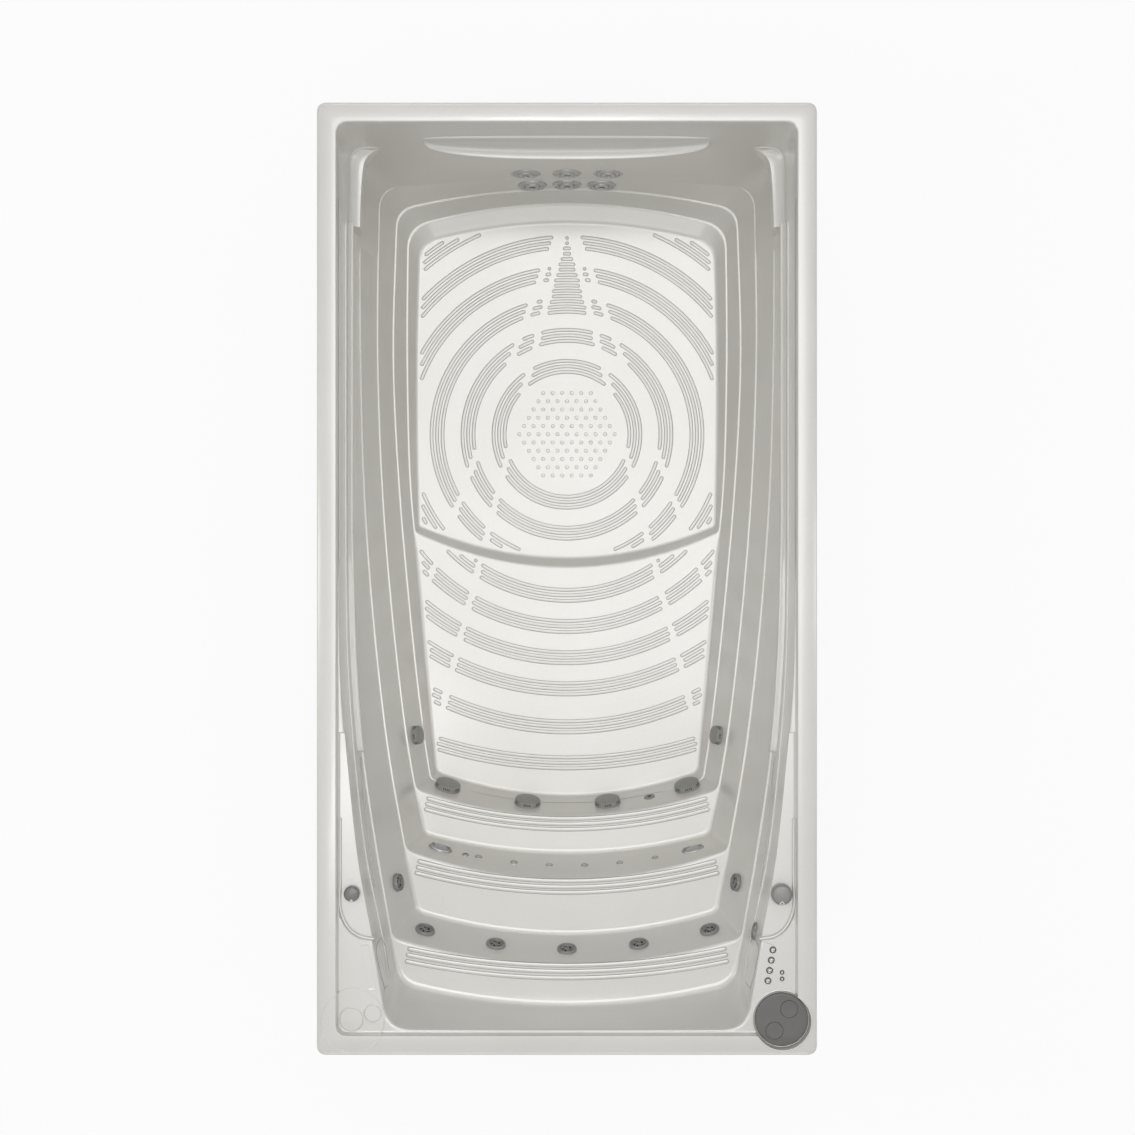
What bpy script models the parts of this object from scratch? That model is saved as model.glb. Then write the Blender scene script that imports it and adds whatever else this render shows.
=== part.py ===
"""Swim spa: a thermoformed pool shell on a timber frame, with its cabinet, jets and equipment.

Metres, +Z up. The origin is the middle of the underside of the base pan. +Y is the end with the
swim jets, and the steps and the seat are at the -Y end.
"""
import math

import bmesh
import bpy
import numpy as np
from mathutils import Matrix, Vector
from mathutils.bvhtree import BVHTree

# Overall sizes
WIDTH = 2.39
LENGTH = 4.55
HEIGHT = 1.30

# Clearances shared by all pieces
GAP = 0.0003
WELD = 0.00001
OVERRUN = 0.02

# Shell: wall, rim, and the heights of its ledges and floors as shares of the height
WALL = 0.010
LIP_DROP = 0.085
RIM_FLAT = 0.087
RIM_SLANT = 0.017
DECK_DROP = 0.05
RIM_CORNER = 0.048
DECK_CORNER = 0.057
SHOULDER_Z_SHARE = 0.8
BENCH_Z_SHARE = 0.7
UPPER_TREAD_Z_SHARE = 0.48846
LOWER_TREAD_Z_SHARE = 0.29231
SIDE_LEDGE_Z_SHARE = 0.16538
FLOOR_Z_SHARE = 0.09615
PIT_Z_SHARE = 0.05
LEDGE = 0.010
CREASE = 0.003
MITRE_SHARE = 0.5

# Points in half a loop of the shell
ARC_POINTS = 4
CORNER_POINTS = 3
SIDE_POINTS = 8

# Where the side lines are read, as shares of the length, and the half widths there,
# as shares of the half width
ALONG_SHARES = (-0.475, -0.4, -0.3, -0.2, -0.1, 0.0, 0.1, 0.25, 0.44)
POOL_EDGE_SHARES = (0.721, 0.768, 0.841, 0.885, 0.907, 0.910, 0.910, 0.910, 0.910)
SHOULDER_SHARES = (0.708, 0.751, 0.828, 0.873, 0.899, 0.905, 0.907, 0.907, 0.906)
BENCH_SHARES = (0.682, 0.724, 0.789, 0.840, 0.879, 0.893, 0.898, 0.900, 0.900)
UPPER_TREAD_SHARES = (0.581, 0.633, 0.700, 0.766, 0.813, 0.848, 0.873, 0.884, 0.884)
LOWER_TREAD_SHARES = (0.490, 0.552, 0.633, 0.705, 0.754, 0.792, 0.820, 0.841, 0.835)
SIDE_LEDGE_SHARES = (0.440, 0.510, 0.577, 0.640, 0.687, 0.725, 0.757, 0.785, 0.768)
FLOOR_SHARES = (0.500, 0.540, 0.575, 0.611, 0.644, 0.676, 0.712, 0.729, 0.724)
PIT_SHARES = (0.500, 0.540, 0.575, 0.611, 0.644, 0.672, 0.684, 0.689, 0.671)

# Ends of the loops, as shares of the length: middle of the arc, then its corner.
# The last share is the corner's rounding, of the width
POOL_EDGE_SOUTH_SHARES = (-0.4760, -0.4755, 0.050)
POOL_EDGE_NORTH_SHARES = (0.4754, 0.4752, 0.030)
SHOULDER_SOUTH_SHARES = (-0.4725, -0.4600, 0.045)
SHOULDER_NORTH_SHARES = (0.4735, 0.4725, 0.034)
BENCH_FOOT_SHARES = (-0.4690, -0.4440, 0.040)
BENCH_NOSE_SHARES = (-0.4226, -0.3940, 0.008)
BENCH_NORTH_SHARES = (0.4712, 0.4690, 0.040)
UPPER_FOOT_SHARES = (-0.4035, -0.3775, 0.008)
UPPER_NOSE_SHARES = (-0.3402, -0.3070, 0.008)
UPPER_NORTH_SHARES = (0.4672, 0.4620, 0.044)
LOWER_FOOT_SHARES = (-0.3210, -0.2985, 0.008)
LOWER_NOSE_SHARES = (-0.2767, -0.2455, 0.008)
LOWER_NORTH_SHARES = (0.4640, 0.4530, 0.050)
SIDE_LEDGE_SOUTH_SHARES = (-0.2664, -0.2380, 0.010)
SIDE_LEDGE_NORTH_SHARES = (0.4600, 0.4350, 0.040)
FLOOR_SOUTH_SHARES = (-0.2607, -0.2320, 0.012)
FLOOR_NORTH_SHARES = (0.4460, 0.4180, 0.048)
BAND_LOW_SHARES = (0.0125, 0.0545, 0.008)
PIT_SOUTH_SHARES = (0.0229, 0.0610, 0.008)
PIT_NORTH_SHARES = (0.4260, 0.4010, 0.045)

# Cabinet and frame
PAN_THICK = 0.03
PANEL_INSET = 0.0115
PANEL_THICK = 0.014
PANEL_TOP_DROP = 0.022
CABINET_CORNER = 0.03
TRIM_WALL = 0.006
TRIM_STEPS = 4
FRAME_THICK = 0.045
RAIL_HEIGHT = 0.06
POST_ALONG_SHARES = (-0.24, 0.0, 0.24)
BEARER_WIDTH = 0.04
BEARER_HEIGHT = 0.05
BENCH_BEARER_SHARE = -0.4505
UPPER_BEARER_SHARE = -0.3720
LOWER_BEARER_SHARE = -0.2980
BEARER_REACH_SHARE = 0.51883
FRAME_CLEAR = 0.004
TRIM_SINK_SHARE = 0.25
SUPPORT_SHARES = ((-0.18, 0.30), (-0.08, 0.30), (0.10, 0.32), (0.22, 0.32), (0.34, 0.32))
SUPPORT_WIDTH = 0.10
SUPPORT_LENGTH = 0.30
ACCESS_WIDTH = 1.30
ACCESS_BOTTOM = 0.12
ACCESS_TOP = 0.86

# Jets: radius of the flange, of the turning face and of the body behind the wall
SWIM_FLANGE = 0.078
SWIM_FACE = 0.058
SWIM_BODY = 0.044
SWIM_DEPTH = 0.055
SWIM_UPPER_Z_SHARE = 0.36923
SWIM_LOWER_Z_SHARE = 0.21538
SWIM_UPPER_SPREAD = 0.215
SWIM_LOWER_SPREAD = 0.185
JET_FLANGE = 0.050
JET_FACE = 0.036
JET_BODY = 0.026
JET_DEPTH = 0.045
SIDE_JET_FLANGE = 0.045
FLANGE_PROUD = 0.008
FACE_THICK = 0.006
FACE_SEAT = 0.004
NOZZLE_PROUD = 0.010
NOZZLE_SHARES = (0.30, 0.42, 0.52)
FLANGE_EDGE = 0.002
SEAT_SINK = 0.0035
RISER_JET_Z_SHARE = 0.59615
RISER_JET_SHARES = (-0.3004, -0.1506, 0.0, 0.1523, 0.3021)
SIDE_JET_ALONG_SHARE = -0.33846
WALL_JET_ALONG_SHARE = -0.37934
WALL_JET_Z_SHARE = 0.83077
SWIM_SIDES = 16
JET_SIDES = 12

# Suctions, lights, injectors and small fittings
SUCTION_RADIUS = 0.0695
SIDE_SUCTION_RADIUS = 0.0505
SUCTION_BODY = 0.030
SUCTION_DEPTH = 0.05
SUCTION_PROUD = 0.036
SUCTION_RIM = 0.006
SUCTION_Z_SHARE = 0.19231
SIDE_SUCTION_Z_SHARE = 0.23077
SUCTION_SHARES = (-0.2678, -0.0887, 0.0912, 0.2699)
SIDE_SUCTION_ALONG_SHARE = -0.18462
LIGHT_RADIUS = 0.0625
LIGHT_SQUASH_SHARE = 0.62
LIGHT_LENS = 0.046
LIGHT_STEM = 0.018
LIGHT_DEPTH = 0.03
LIGHT_Z_SHARE = 0.38462
LIGHT_SPREAD_SHARE = 0.27531
INJECTOR_RADIUS = 0.020
INJECTOR_STEM = 0.009
INJECTOR_DEPTH = 0.03
INJECTOR_PROUD = 0.006
INJECTOR_SHARES = (-0.19247, -0.11548, -0.03849, 0.03849, 0.11548, 0.19247)
SENSOR_RADIUS = 0.0185
SENSOR_STEP = 0.129
RETURN_RADIUS = 0.030
RETURN_SPREAD_SHARE = 0.18452
SMALL_SIDES = 8
BUTTON_SIDES = 10

# Deck: knobs, buttons and the filter. Each inset is from the outer side of the rim
DIVERTER_INSET = 0.166
DIVERTER_ALONG_SHARE = -0.33231
DIVERTER_RADIUS = 0.0505
DIVERTER_HEIGHT = 0.028
DIVERTER_BODY = 0.027
DIVERTER_DEPTH = 0.16
AIR_INSET = 0.164
AIR_ALONG_SHARE = -0.33187
AIR_RADIUS = 0.038
AIR_HEIGHT = 0.022
AIR_BODY = 0.016
AIR_DEPTH = 0.07
KNOB_COLLAR = 0.008
KNOB_CLEAR = 0.0008
KNOB_SPINDLE = 0.006
KNOB_GRIP_WIDTH = 0.012
KNOB_GRIP_HEIGHT = 0.008
BUTTON_COUNT = 4
BUTTON_INSET = 0.207
BUTTON_ALONG_SHARE = -0.39121
BUTTON_STEP_X = 0.008
BUTTON_STEP_Y = 0.0493
BUTTON_RADIUS = 0.0165
SMALL_BUTTON_COUNT = 2
SMALL_BUTTON_INSET = 0.163
SMALL_BUTTON_ALONG_SHARE = -0.41495
SMALL_BUTTON_STEP = 0.031
SMALL_BUTTON_RADIUS = 0.011
BUTTON_RING = 0.003
BUTTON_CAP_SHARE = 0.74
BUTTON_STEM_SHARE = 0.40
BUTTON_BODY_SHARE = 0.62
BUTTON_PROUD = 0.005
BUTTON_TRAVEL = 0.003
BUTTON_DEPTH = 0.035
BUTTON_SLACK = 0.0004
BLOCK_THICK = 0.012
FILTER_INSET_X = 0.166
FILTER_INSET_Y = 0.163
CANISTER_RADIUS = 0.1352
CANISTER_WALL = 0.005
CANISTER_DEPTH = 0.34
CANISTER_PORT = 0.02
LID_RADIUS = 0.128
LID_THICK = 0.010
LID_PROUD = 0.004
LID_SKIRT = 0.018
LID_SKIRT_WALL = 0.005
DIMPLE_RADIUS = 0.0435
DIMPLE_DEPTH = 0.005
DIMPLE_SPREAD = 0.062
DIMPLE_ANGLE = math.pi / 4
CARTRIDGE_RADIUS = 0.088
CARTRIDGE_CORE = 0.030
CARTRIDGE_LENGTH = 0.26
CARTRIDGE_CAP = 0.012
DECK_CLEARANCE = 0.004
FILTER_SIDES = 28
KNOB_SIDES = 18
GRIP_REACH_SHARE = 0.85
DOME_SHARES = (0.55, 0.92, 0.85, 0.62)
COVER_SHARES = (0.60, 0.97, 0.93, 0.88)
COVER_SIDE_SHARE = 0.72

# Equipment under the steps
PUMP_ALONG_SHARE = -0.41758
PUMP_AXIS_Z = 0.165
PUMP_FRONT = 0.12
MOTOR_RADIUS = 0.080
MOTOR_LENGTH = 0.30
MOTOR_CAP = 0.035
MOTOR_FOOT_WIDTH = 0.12
MOTOR_FOOT_LENGTH = 0.16
WET_RADIUS = 0.105
WET_LENGTH = 0.11
WET_WALL = 0.012
INLET_RADIUS = 0.030
INLET_LENGTH = 0.03
OUTLET_RADIUS = 0.035
OUTLET_TOP = 0.31
IMPELLER_RADIUS = 0.075
IMPELLER_THICK = 0.03
SHAFT_RADIUS = 0.010
SHAFT_CLEAR = 0.001
PIPE_RADIUS = 0.025
STUB_RADIUS = 0.015
PIPE_BEND = 0.09
PIPE_SIDE_INSET = 0.165
PIPE_CROSS_Z = 0.46
PIPE_LOW_Z = 0.15
PIPE_END_INSET = 0.138
SUCTION_PIPE_X = 0.045
SUCTION_PIPE_BEND = 0.035
AIR_LINE_RADIUS = 0.007
MANIFOLD_ALONG_SHARE = -0.28571
MANIFOLD_REACH_SHARE = 0.58577
BOX_SIZE = (0.30, 0.16, 0.34)
BOX_INSET_X = 0.315
BOX_INSET_Y = 0.225

# Places worked out from the sizes above
HALF_WIDTH = WIDTH / 2
HALF_LENGTH = LENGTH / 2
DECK_Z = HEIGHT - DECK_DROP
CABINET_X = HALF_WIDTH - PANEL_INSET
CABINET_Y = HALF_LENGTH - PANEL_INSET
PANEL_BACK_X = CABINET_X - PANEL_THICK
PANEL_BACK_Y = CABINET_Y - PANEL_THICK
FRAME_X = PANEL_BACK_X - GAP
FRAME_Y = PANEL_BACK_Y - GAP
PAN_TOP = PAN_THICK + GAP
RAIL_TOP = HEIGHT - WALL - GAP
CANISTER_TOP = HEIGHT - DECK_CLEARANCE
SHOULDER_Z = SHOULDER_Z_SHARE * HEIGHT
BENCH_Z = BENCH_Z_SHARE * HEIGHT
UPPER_TREAD_Z = UPPER_TREAD_Z_SHARE * HEIGHT
LOWER_TREAD_Z = LOWER_TREAD_Z_SHARE * HEIGHT
SIDE_LEDGE_Z = SIDE_LEDGE_Z_SHARE * HEIGHT
FLOOR_Z = FLOOR_Z_SHARE * HEIGHT
PIT_Z = PIT_Z_SHARE * HEIGHT
SWIM_UPPER_Z = SWIM_UPPER_Z_SHARE * HEIGHT
SWIM_LOWER_Z = SWIM_LOWER_Z_SHARE * HEIGHT
RISER_JET_Z = RISER_JET_Z_SHARE * HEIGHT
RISER_JET_SPREADS = [share * WIDTH for share in RISER_JET_SHARES]
SIDE_JET_ALONG = SIDE_JET_ALONG_SHARE * LENGTH
WALL_JET_ALONG = WALL_JET_ALONG_SHARE * LENGTH
WALL_JET_Z = WALL_JET_Z_SHARE * HEIGHT
SUCTION_Z = SUCTION_Z_SHARE * HEIGHT
SIDE_SUCTION_Z = SIDE_SUCTION_Z_SHARE * HEIGHT
SUCTION_SPREADS = [share * WIDTH for share in SUCTION_SHARES]
SIDE_SUCTION_ALONG = SIDE_SUCTION_ALONG_SHARE * LENGTH
LIGHT_Z = LIGHT_Z_SHARE * HEIGHT
LIGHT_SPREAD = LIGHT_SPREAD_SHARE * WIDTH
INJECTOR_SPREADS = [share * WIDTH for share in INJECTOR_SHARES]
SENSOR_SPREAD = SENSOR_STEP - LIGHT_SPREAD
RETURN_SPREAD = RETURN_SPREAD_SHARE * WIDTH
DIVERTER_PLACE = (HALF_WIDTH - DIVERTER_INSET, DIVERTER_ALONG_SHARE * LENGTH)
AIR_PLACE = (AIR_INSET - HALF_WIDTH, AIR_ALONG_SHARE * LENGTH)
FILTER_PLACE = (HALF_WIDTH - FILTER_INSET_X, FILTER_INSET_Y - HALF_LENGTH)
BUTTON_X = HALF_WIDTH - BUTTON_INSET
BUTTON_Y = BUTTON_ALONG_SHARE * LENGTH
SMALL_BUTTON_X = HALF_WIDTH - SMALL_BUTTON_INSET
SMALL_BUTTON_Y = SMALL_BUTTON_ALONG_SHARE * LENGTH
BUTTON_PLACES = [(BUTTON_X - i * BUTTON_STEP_X, BUTTON_Y - i * BUTTON_STEP_Y)
                 for i in range(BUTTON_COUNT)]
SMALL_BUTTON_PLACES = [(SMALL_BUTTON_X, SMALL_BUTTON_Y - i * SMALL_BUTTON_STEP)
                       for i in range(SMALL_BUTTON_COUNT)]
BEARER_REACH = BEARER_REACH_SHARE * HALF_WIDTH
PUMP_ALONG = PUMP_ALONG_SHARE * LENGTH
PIPE_SIDE_X = HALF_WIDTH - PIPE_SIDE_INSET
PIPE_END_Y = HALF_LENGTH - PIPE_END_INSET
MANIFOLD_Y = MANIFOLD_ALONG_SHARE * LENGTH
MANIFOLD_REACH = MANIFOLD_REACH_SHARE * HALF_WIDTH
BOX_X = HALF_WIDTH - BOX_INSET_X
BOX_Y = BOX_INSET_Y - HALF_LENGTH


def clear_scene():
    """Remove every object, so that the script can run again in an open file."""
    for obj in list(bpy.data.objects):
        bpy.data.objects.remove(obj, do_unlink=True)


def new_collection(name):
    """A collection linked to the scene."""
    collection = bpy.data.collections.new(name)
    bpy.context.scene.collection.children.link(collection)
    return collection


def finish(name, colour, roughness, metallic=0.0):
    """A Principled material."""
    material = bpy.data.materials.new(name)
    material.use_nodes = True
    shader = material.node_tree.nodes["Principled BSDF"]
    shader.inputs["Base Color"].default_value = (*colour, 1.0)
    shader.inputs["Roughness"].default_value = roughness
    shader.inputs["Metallic"].default_value = metallic
    return material


def add_object(name, mesh, collection, material=None):
    """An object with this mesh, in this collection."""
    obj = bpy.data.objects.new(name, mesh)
    collection.objects.link(obj)
    if material:
        mesh.materials.append(material)
    return obj


def hide_helpers(collection):
    """Keep cutters and forms out of renders."""
    for obj in collection.all_objects:
        obj.hide_render = True
        obj.display_type = "WIRE"


def mesh_from(bm, name):
    """A mesh with the faces of bm, which is freed."""
    mesh = bpy.data.meshes.new(name)
    bm.to_mesh(mesh)
    bm.free()
    return mesh


def box(name, low, high, collection, material=None):
    """A box between two corners, with its origin at its middle."""
    low, high = Vector(low), Vector(high)
    bm = bmesh.new()
    bmesh.ops.create_cube(bm, size=1.0, matrix=Matrix.Diagonal((*(high - low), 1.0)))
    obj = add_object(name, mesh_from(bm, name), collection, material)
    obj.location = (low + high) / 2
    return obj


def turned(name, profile, sides, collection, material=None, closed=False):
    """A turned solid. The profile runs from top to bottom, as radius and height."""
    mesh = bpy.data.meshes.new(name)
    points = [(radius, 0.0, height) for radius, height in profile]
    edges = [(i, i + 1) for i in range(len(points) - 1)]
    if closed:
        edges.append((len(points) - 1, 0))
    edges = [(i, j) for i, j in edges if points[i][0] or points[j][0]]
    mesh.from_pydata(points, edges, [])
    obj = add_object(name, mesh, collection, material)
    screw = obj.modifiers.new("turn", "SCREW")
    screw.steps = sides
    screw.render_steps = sides
    screw.use_merge_vertices = True
    screw.merge_threshold = 0.00005
    screw.use_smooth_shade = True
    return obj


def flat_outline(name, outline, low, high, collection, material=None):
    """A flat outline, in X and Y, raised from low to high."""
    curve = bpy.data.curves.new(name, "CURVE")
    curve.dimensions = "2D"
    curve.fill_mode = "BOTH"
    curve.extrude = (high - low) / 2
    spline = curve.splines.new("POLY")
    spline.points.add(len(outline) - 1)
    for point, (x, y) in zip(spline.points, outline):
        point.co = (x, y, 0.0, 1.0)
    spline.use_cyclic_u = True
    obj = bpy.data.objects.new(name, curve)
    collection.objects.link(obj)
    if material:
        curve.materials.append(material)
    obj.location.z = (low + high) / 2
    return obj


def bent_route(corners, bend):
    """The points of a pipe whose straight runs meet in round bends."""
    corners = [Vector(corner) for corner in corners]
    points = [corners[0]]
    for before, corner, after in zip(corners, corners[1:], corners[2:]):
        start = corner + (before - corner).normalized() * bend
        end = corner + (after - corner).normalized() * bend
        for step in range(CORNER_POINTS + 1):
            t = step / CORNER_POINTS
            points.append(start.lerp(corner, t).lerp(corner.lerp(end, t), t))
    points.append(corners[-1])
    return points


def pipe(name, corners, radius, collection, bend=PIPE_BEND):
    """A round pipe or rod along a route."""
    curve = bpy.data.curves.new(name, "CURVE")
    curve.dimensions = "3D"
    curve.bevel_depth = radius
    curve.bevel_resolution = 1
    curve.use_fill_caps = True
    points = bent_route(corners, bend)
    spline = curve.splines.new("POLY")
    spline.points.add(len(points) - 1)
    for spot, point in zip(spline.points, points):
        spot.co = (*point, 1.0)
    obj = bpy.data.objects.new(name, curve)
    collection.objects.link(obj)
    return as_mesh(obj)


def as_mesh(obj):
    """The same solid as a mesh object, with the caps of a curve welded."""
    bpy.context.view_layer.update()
    graph = bpy.context.evaluated_depsgraph_get()
    mesh = bpy.data.meshes.new_from_object(obj.evaluated_get(graph))
    bm = bmesh.new()
    bm.from_mesh(mesh)
    bmesh.ops.remove_doubles(bm, verts=bm.verts, dist=WELD)
    bm.to_mesh(mesh)
    bm.free()
    solid = bpy.data.objects.new(obj.name, mesh)
    obj.users_collection[0].objects.link(solid)
    solid.matrix_world = obj.matrix_world
    bpy.data.objects.remove(obj, do_unlink=True)
    return solid


def united(name, objects, collection, scratch, material):
    """One solid from pieces that are glued, screwed or moulded together."""
    group = bpy.data.collections.new(name + "_forms")
    scratch.children.link(group)
    main_piece = objects[0]
    for obj in objects[1:]:
        scratch.objects.unlink(obj)
        group.objects.link(obj)
    scratch.objects.unlink(main_piece)
    collection.objects.link(main_piece)
    main_piece.name = name
    main_piece.data.materials.clear()
    main_piece.data.materials.append(material)
    modifier = main_piece.modifiers.new("union", "BOOLEAN")
    modifier.operand_type = "COLLECTION"
    modifier.collection = group
    modifier.operation = "UNION"
    modifier.solver = "EXACT"
    return main_piece


def cut(obj, cutter, operation="DIFFERENCE"):
    """A Boolean modifier with one other object."""
    modifier = obj.modifiers.new(operation.lower(), "BOOLEAN")
    modifier.operation = operation
    modifier.solver = "EXACT"
    modifier.object = cutter


def soften(obj, width):
    """A small bevel on sharp edges."""
    bevel = obj.modifiers.new("soft edges", "BEVEL")
    bevel.width = width
    bevel.segments = 1
    bevel.limit_method = "ANGLE"


def read_line(y, shares):
    """The half width of a side line at y, on a smooth curve through its shares."""
    along = np.array(ALONG_SHARES) * LENGTH
    half = np.array(shares) * HALF_WIDTH
    slope = np.gradient(half, along)
    i = int(np.clip(np.searchsorted(along, y) - 1, 0, len(along) - 2))
    span = along[i + 1] - along[i]
    t = (y - along[i]) / span
    rise = half[i + 1] - half[i]
    start = slope[i] * span
    end = slope[i + 1] * span
    return half[i] + t * (start + t * (3 * rise - 2 * start - end + t * (start + end - 2 * rise)))


def rounded(before, corner, after):
    """Points that round a corner between two points of a loop."""
    points = []
    for step in range(1, CORNER_POINTS):
        t = step / CORNER_POINTS
        start = (before[0] + (corner[0] - before[0]) * t, before[1] + (corner[1] - before[1]) * t)
        end = (corner[0] + (after[0] - corner[0]) * t, corner[1] + (after[1] - corner[1]) * t)
        points.append((start[0] + (end[0] - start[0]) * t, start[1] + (end[1] - start[1]) * t))
    return points


def end_points(half_at, end, inward):
    """Points of one end of a loop: its arc, then the rounded corner up to the side."""
    middle, corner_y, radius = end
    corner = (half_at(corner_y), corner_y)
    reach = corner[0] - radius
    arc = []
    for step in range(ARC_POINTS + 1):
        x = reach * step / ARC_POINTS
        arc.append((x, middle + (corner_y - middle) * (x / corner[0]) ** 2))
    side_y = corner_y + inward * radius
    side = (half_at(side_y), side_y)
    return arc + rounded(arc[-1], corner, side) + [side]


def plan_loop(half_at, south, north):
    """A closed loop in plan, symmetric in X, from its side line and its two ends."""
    first = end_points(half_at, south, 1.0)
    last = end_points(half_at, north, -1.0)
    low, high = first[-1][1], last[-1][1]
    side = []
    for step in range(1, SIDE_POINTS):
        y = low + (high - low) * step / SIDE_POINTS
        side.append((half_at(y), y))
    half = first + side + last[::-1]
    return half + [(-x, y) for x, y in half[-2:0:-1]]


def line_loop(shares, south_shares, north_shares, inset=0.0, south_inset=0.0, north_inset=0.0):
    """A loop of the pool from its tables of shares, drawn inwards by the insets."""
    south = (south_shares[0] * LENGTH + south_inset, south_shares[1] * LENGTH + south_inset,
             south_shares[2] * WIDTH)
    north = (north_shares[0] * LENGTH - north_inset, north_shares[1] * LENGTH - north_inset,
             north_shares[2] * WIDTH)
    return plan_loop(lambda y: read_line(y, shares) - inset, south, north)


def frame_loop(inset, corner):
    """A rectangular loop with rounded corners, inset from the overall outline."""
    half_x, half_y = HALF_WIDTH - inset, HALF_LENGTH - inset
    return plan_loop(lambda y: half_x, (-half_y, -half_y, corner), (half_y, half_y, corner))


def offset_loop(loop, distance):
    """The loop moved outwards by a distance, mitred at its corners."""
    moved = []
    for i, point in enumerate(loop):
        before = Vector(loop[i - 1])
        after = Vector(loop[(i + 1) % len(loop)])
        here = Vector(point)
        first = (here - before).normalized()
        second = (after - here).normalized()
        first = Vector((first.y, -first.x))
        second = Vector((second.y, -second.x))
        middle = (first + second).normalized()
        spot = here + middle * (distance / max(middle.dot(first), MITRE_SHARE))
        moved.append((spot.x, spot.y))
    return moved


def pool_levels():
    """The pool's loops from the rim down: each a plan, a height and whether a flat leads to it."""
    base = RIM_FLAT + RIM_SLANT
    return [
        (frame_loop(0.0, RIM_CORNER), HEIGHT, False),
        (frame_loop(RIM_FLAT, DECK_CORNER), HEIGHT, True),
        (frame_loop(base, DECK_CORNER), DECK_Z, False),
        (line_loop(POOL_EDGE_SHARES, POOL_EDGE_SOUTH_SHARES, POOL_EDGE_NORTH_SHARES), DECK_Z, True),
        (line_loop(SHOULDER_SHARES, SHOULDER_SOUTH_SHARES, SHOULDER_NORTH_SHARES),
         SHOULDER_Z, False),
        (line_loop(BENCH_SHARES, BENCH_FOOT_SHARES, BENCH_NORTH_SHARES), BENCH_Z, False),
        (line_loop(BENCH_SHARES, BENCH_NOSE_SHARES, BENCH_NORTH_SHARES, LEDGE, 0.0, CREASE),
         BENCH_Z, True),
        (line_loop(UPPER_TREAD_SHARES, UPPER_FOOT_SHARES, UPPER_NORTH_SHARES),
         UPPER_TREAD_Z, False),
        (line_loop(UPPER_TREAD_SHARES, UPPER_NOSE_SHARES, UPPER_NORTH_SHARES, LEDGE, 0.0, CREASE),
         UPPER_TREAD_Z, True),
        (line_loop(LOWER_TREAD_SHARES, LOWER_FOOT_SHARES, LOWER_NORTH_SHARES),
         LOWER_TREAD_Z, False),
        (line_loop(LOWER_TREAD_SHARES, LOWER_NOSE_SHARES, LOWER_NORTH_SHARES, LEDGE, 0.0, CREASE),
         LOWER_TREAD_Z, True),
        (line_loop(SIDE_LEDGE_SHARES, SIDE_LEDGE_SOUTH_SHARES, SIDE_LEDGE_NORTH_SHARES),
         SIDE_LEDGE_Z, False),
        (line_loop(SIDE_LEDGE_SHARES, SIDE_LEDGE_SOUTH_SHARES, SIDE_LEDGE_NORTH_SHARES,
                   LEDGE, CREASE, LEDGE), SIDE_LEDGE_Z, True),
        (line_loop(FLOOR_SHARES, FLOOR_SOUTH_SHARES, FLOOR_NORTH_SHARES), FLOOR_Z, False),
        (line_loop(FLOOR_SHARES, BAND_LOW_SHARES, FLOOR_NORTH_SHARES, LEDGE, 0.0, LEDGE),
         FLOOR_Z, True),
        (line_loop(PIT_SHARES, PIT_SOUTH_SHARES, PIT_NORTH_SHARES), PIT_Z, False),
    ]


def add_flat(bm, rings):
    """Fill the flat between two closed rings of points, or inside one."""
    edges = []
    for ring in rings:
        for i, vert in enumerate(ring):
            pair = (vert, ring[(i + 1) % len(ring)])
            edges.append(bm.edges.get(pair) or bm.edges.new(pair))
    bmesh.ops.triangle_fill(bm, use_beauty=True, edges=edges)


def add_wall(bm, upper, lower):
    """Quads between two rings with the same number of points."""
    count = len(upper)
    for i in range(count):
        j = (i + 1) % count
        bm.faces.new((upper[i], upper[j], lower[j], lower[i]))


def pool_skin():
    """The shell as one closed surface: its wet side, its lip and its underside."""
    bm = bmesh.new()
    levels = pool_levels()
    wet = [[bm.verts.new((x, y, z)) for x, y in loop] for loop, z, flat in levels]
    lip = frame_loop(WALL, RIM_CORNER - WALL)
    dry = [[bm.verts.new((x, y, HEIGHT - WALL)) for x, y in lip]]
    for loop, z, flat in levels[1:]:
        dry.append([bm.verts.new((x, y, z - WALL)) for x, y in offset_loop(loop, WALL)])
    for rings in (wet, dry):
        for i in range(1, len(levels)):
            if levels[i][2]:
                add_flat(bm, (rings[i - 1], rings[i]))
            else:
                add_wall(bm, rings[i - 1], rings[i])
        add_flat(bm, (rings[-1],))
    hem_z = HEIGHT - LIP_DROP
    hem_out = [bm.verts.new((x, y, hem_z)) for x, y in levels[0][0]]
    hem_in = [bm.verts.new((x, y, hem_z)) for x, y in lip]
    add_wall(bm, wet[0], hem_out)
    add_flat(bm, (hem_out, hem_in))
    add_wall(bm, dry[0], hem_in)
    bmesh.ops.recalc_face_normals(bm, faces=bm.faces)
    return mesh_from(bm, "shell")


def wall_seat(tree, origin, heading, reach):
    """The seat of a fitting on a wall: a frame whose Z axis points into the pool."""
    heading = Vector(heading)
    origin = Vector(origin)
    across = heading.cross(Vector((0.0, 0.0, 1.0))).normalized()
    upward = Vector((0.0, 0.0, reach))
    hits = []
    for shift in (Vector(), across * reach, -across * reach, upward, -upward):
        hits.append(tree.ray_cast(origin + shift, heading)[0])
    normal = (hits[1] - hits[2]).cross(hits[3] - hits[4]).normalized()
    if normal.dot(heading) > 0:
        normal.negate()
    side = across - normal * across.dot(normal)
    side.normalize()
    turn = Matrix((side, normal.cross(side), normal)).transposed()
    return Matrix.Translation(hits[0] - normal * SEAT_SINK) @ turn.to_4x4()


def deck_seat(place, z=DECK_Z):
    """The seat of a fitting on the deck."""
    return Matrix.Translation((place[0], place[1], z))


def place(obj, seat):
    """Put an object at a seat, before the view layer is next updated."""
    obj.matrix_world = seat
    return obj


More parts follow.
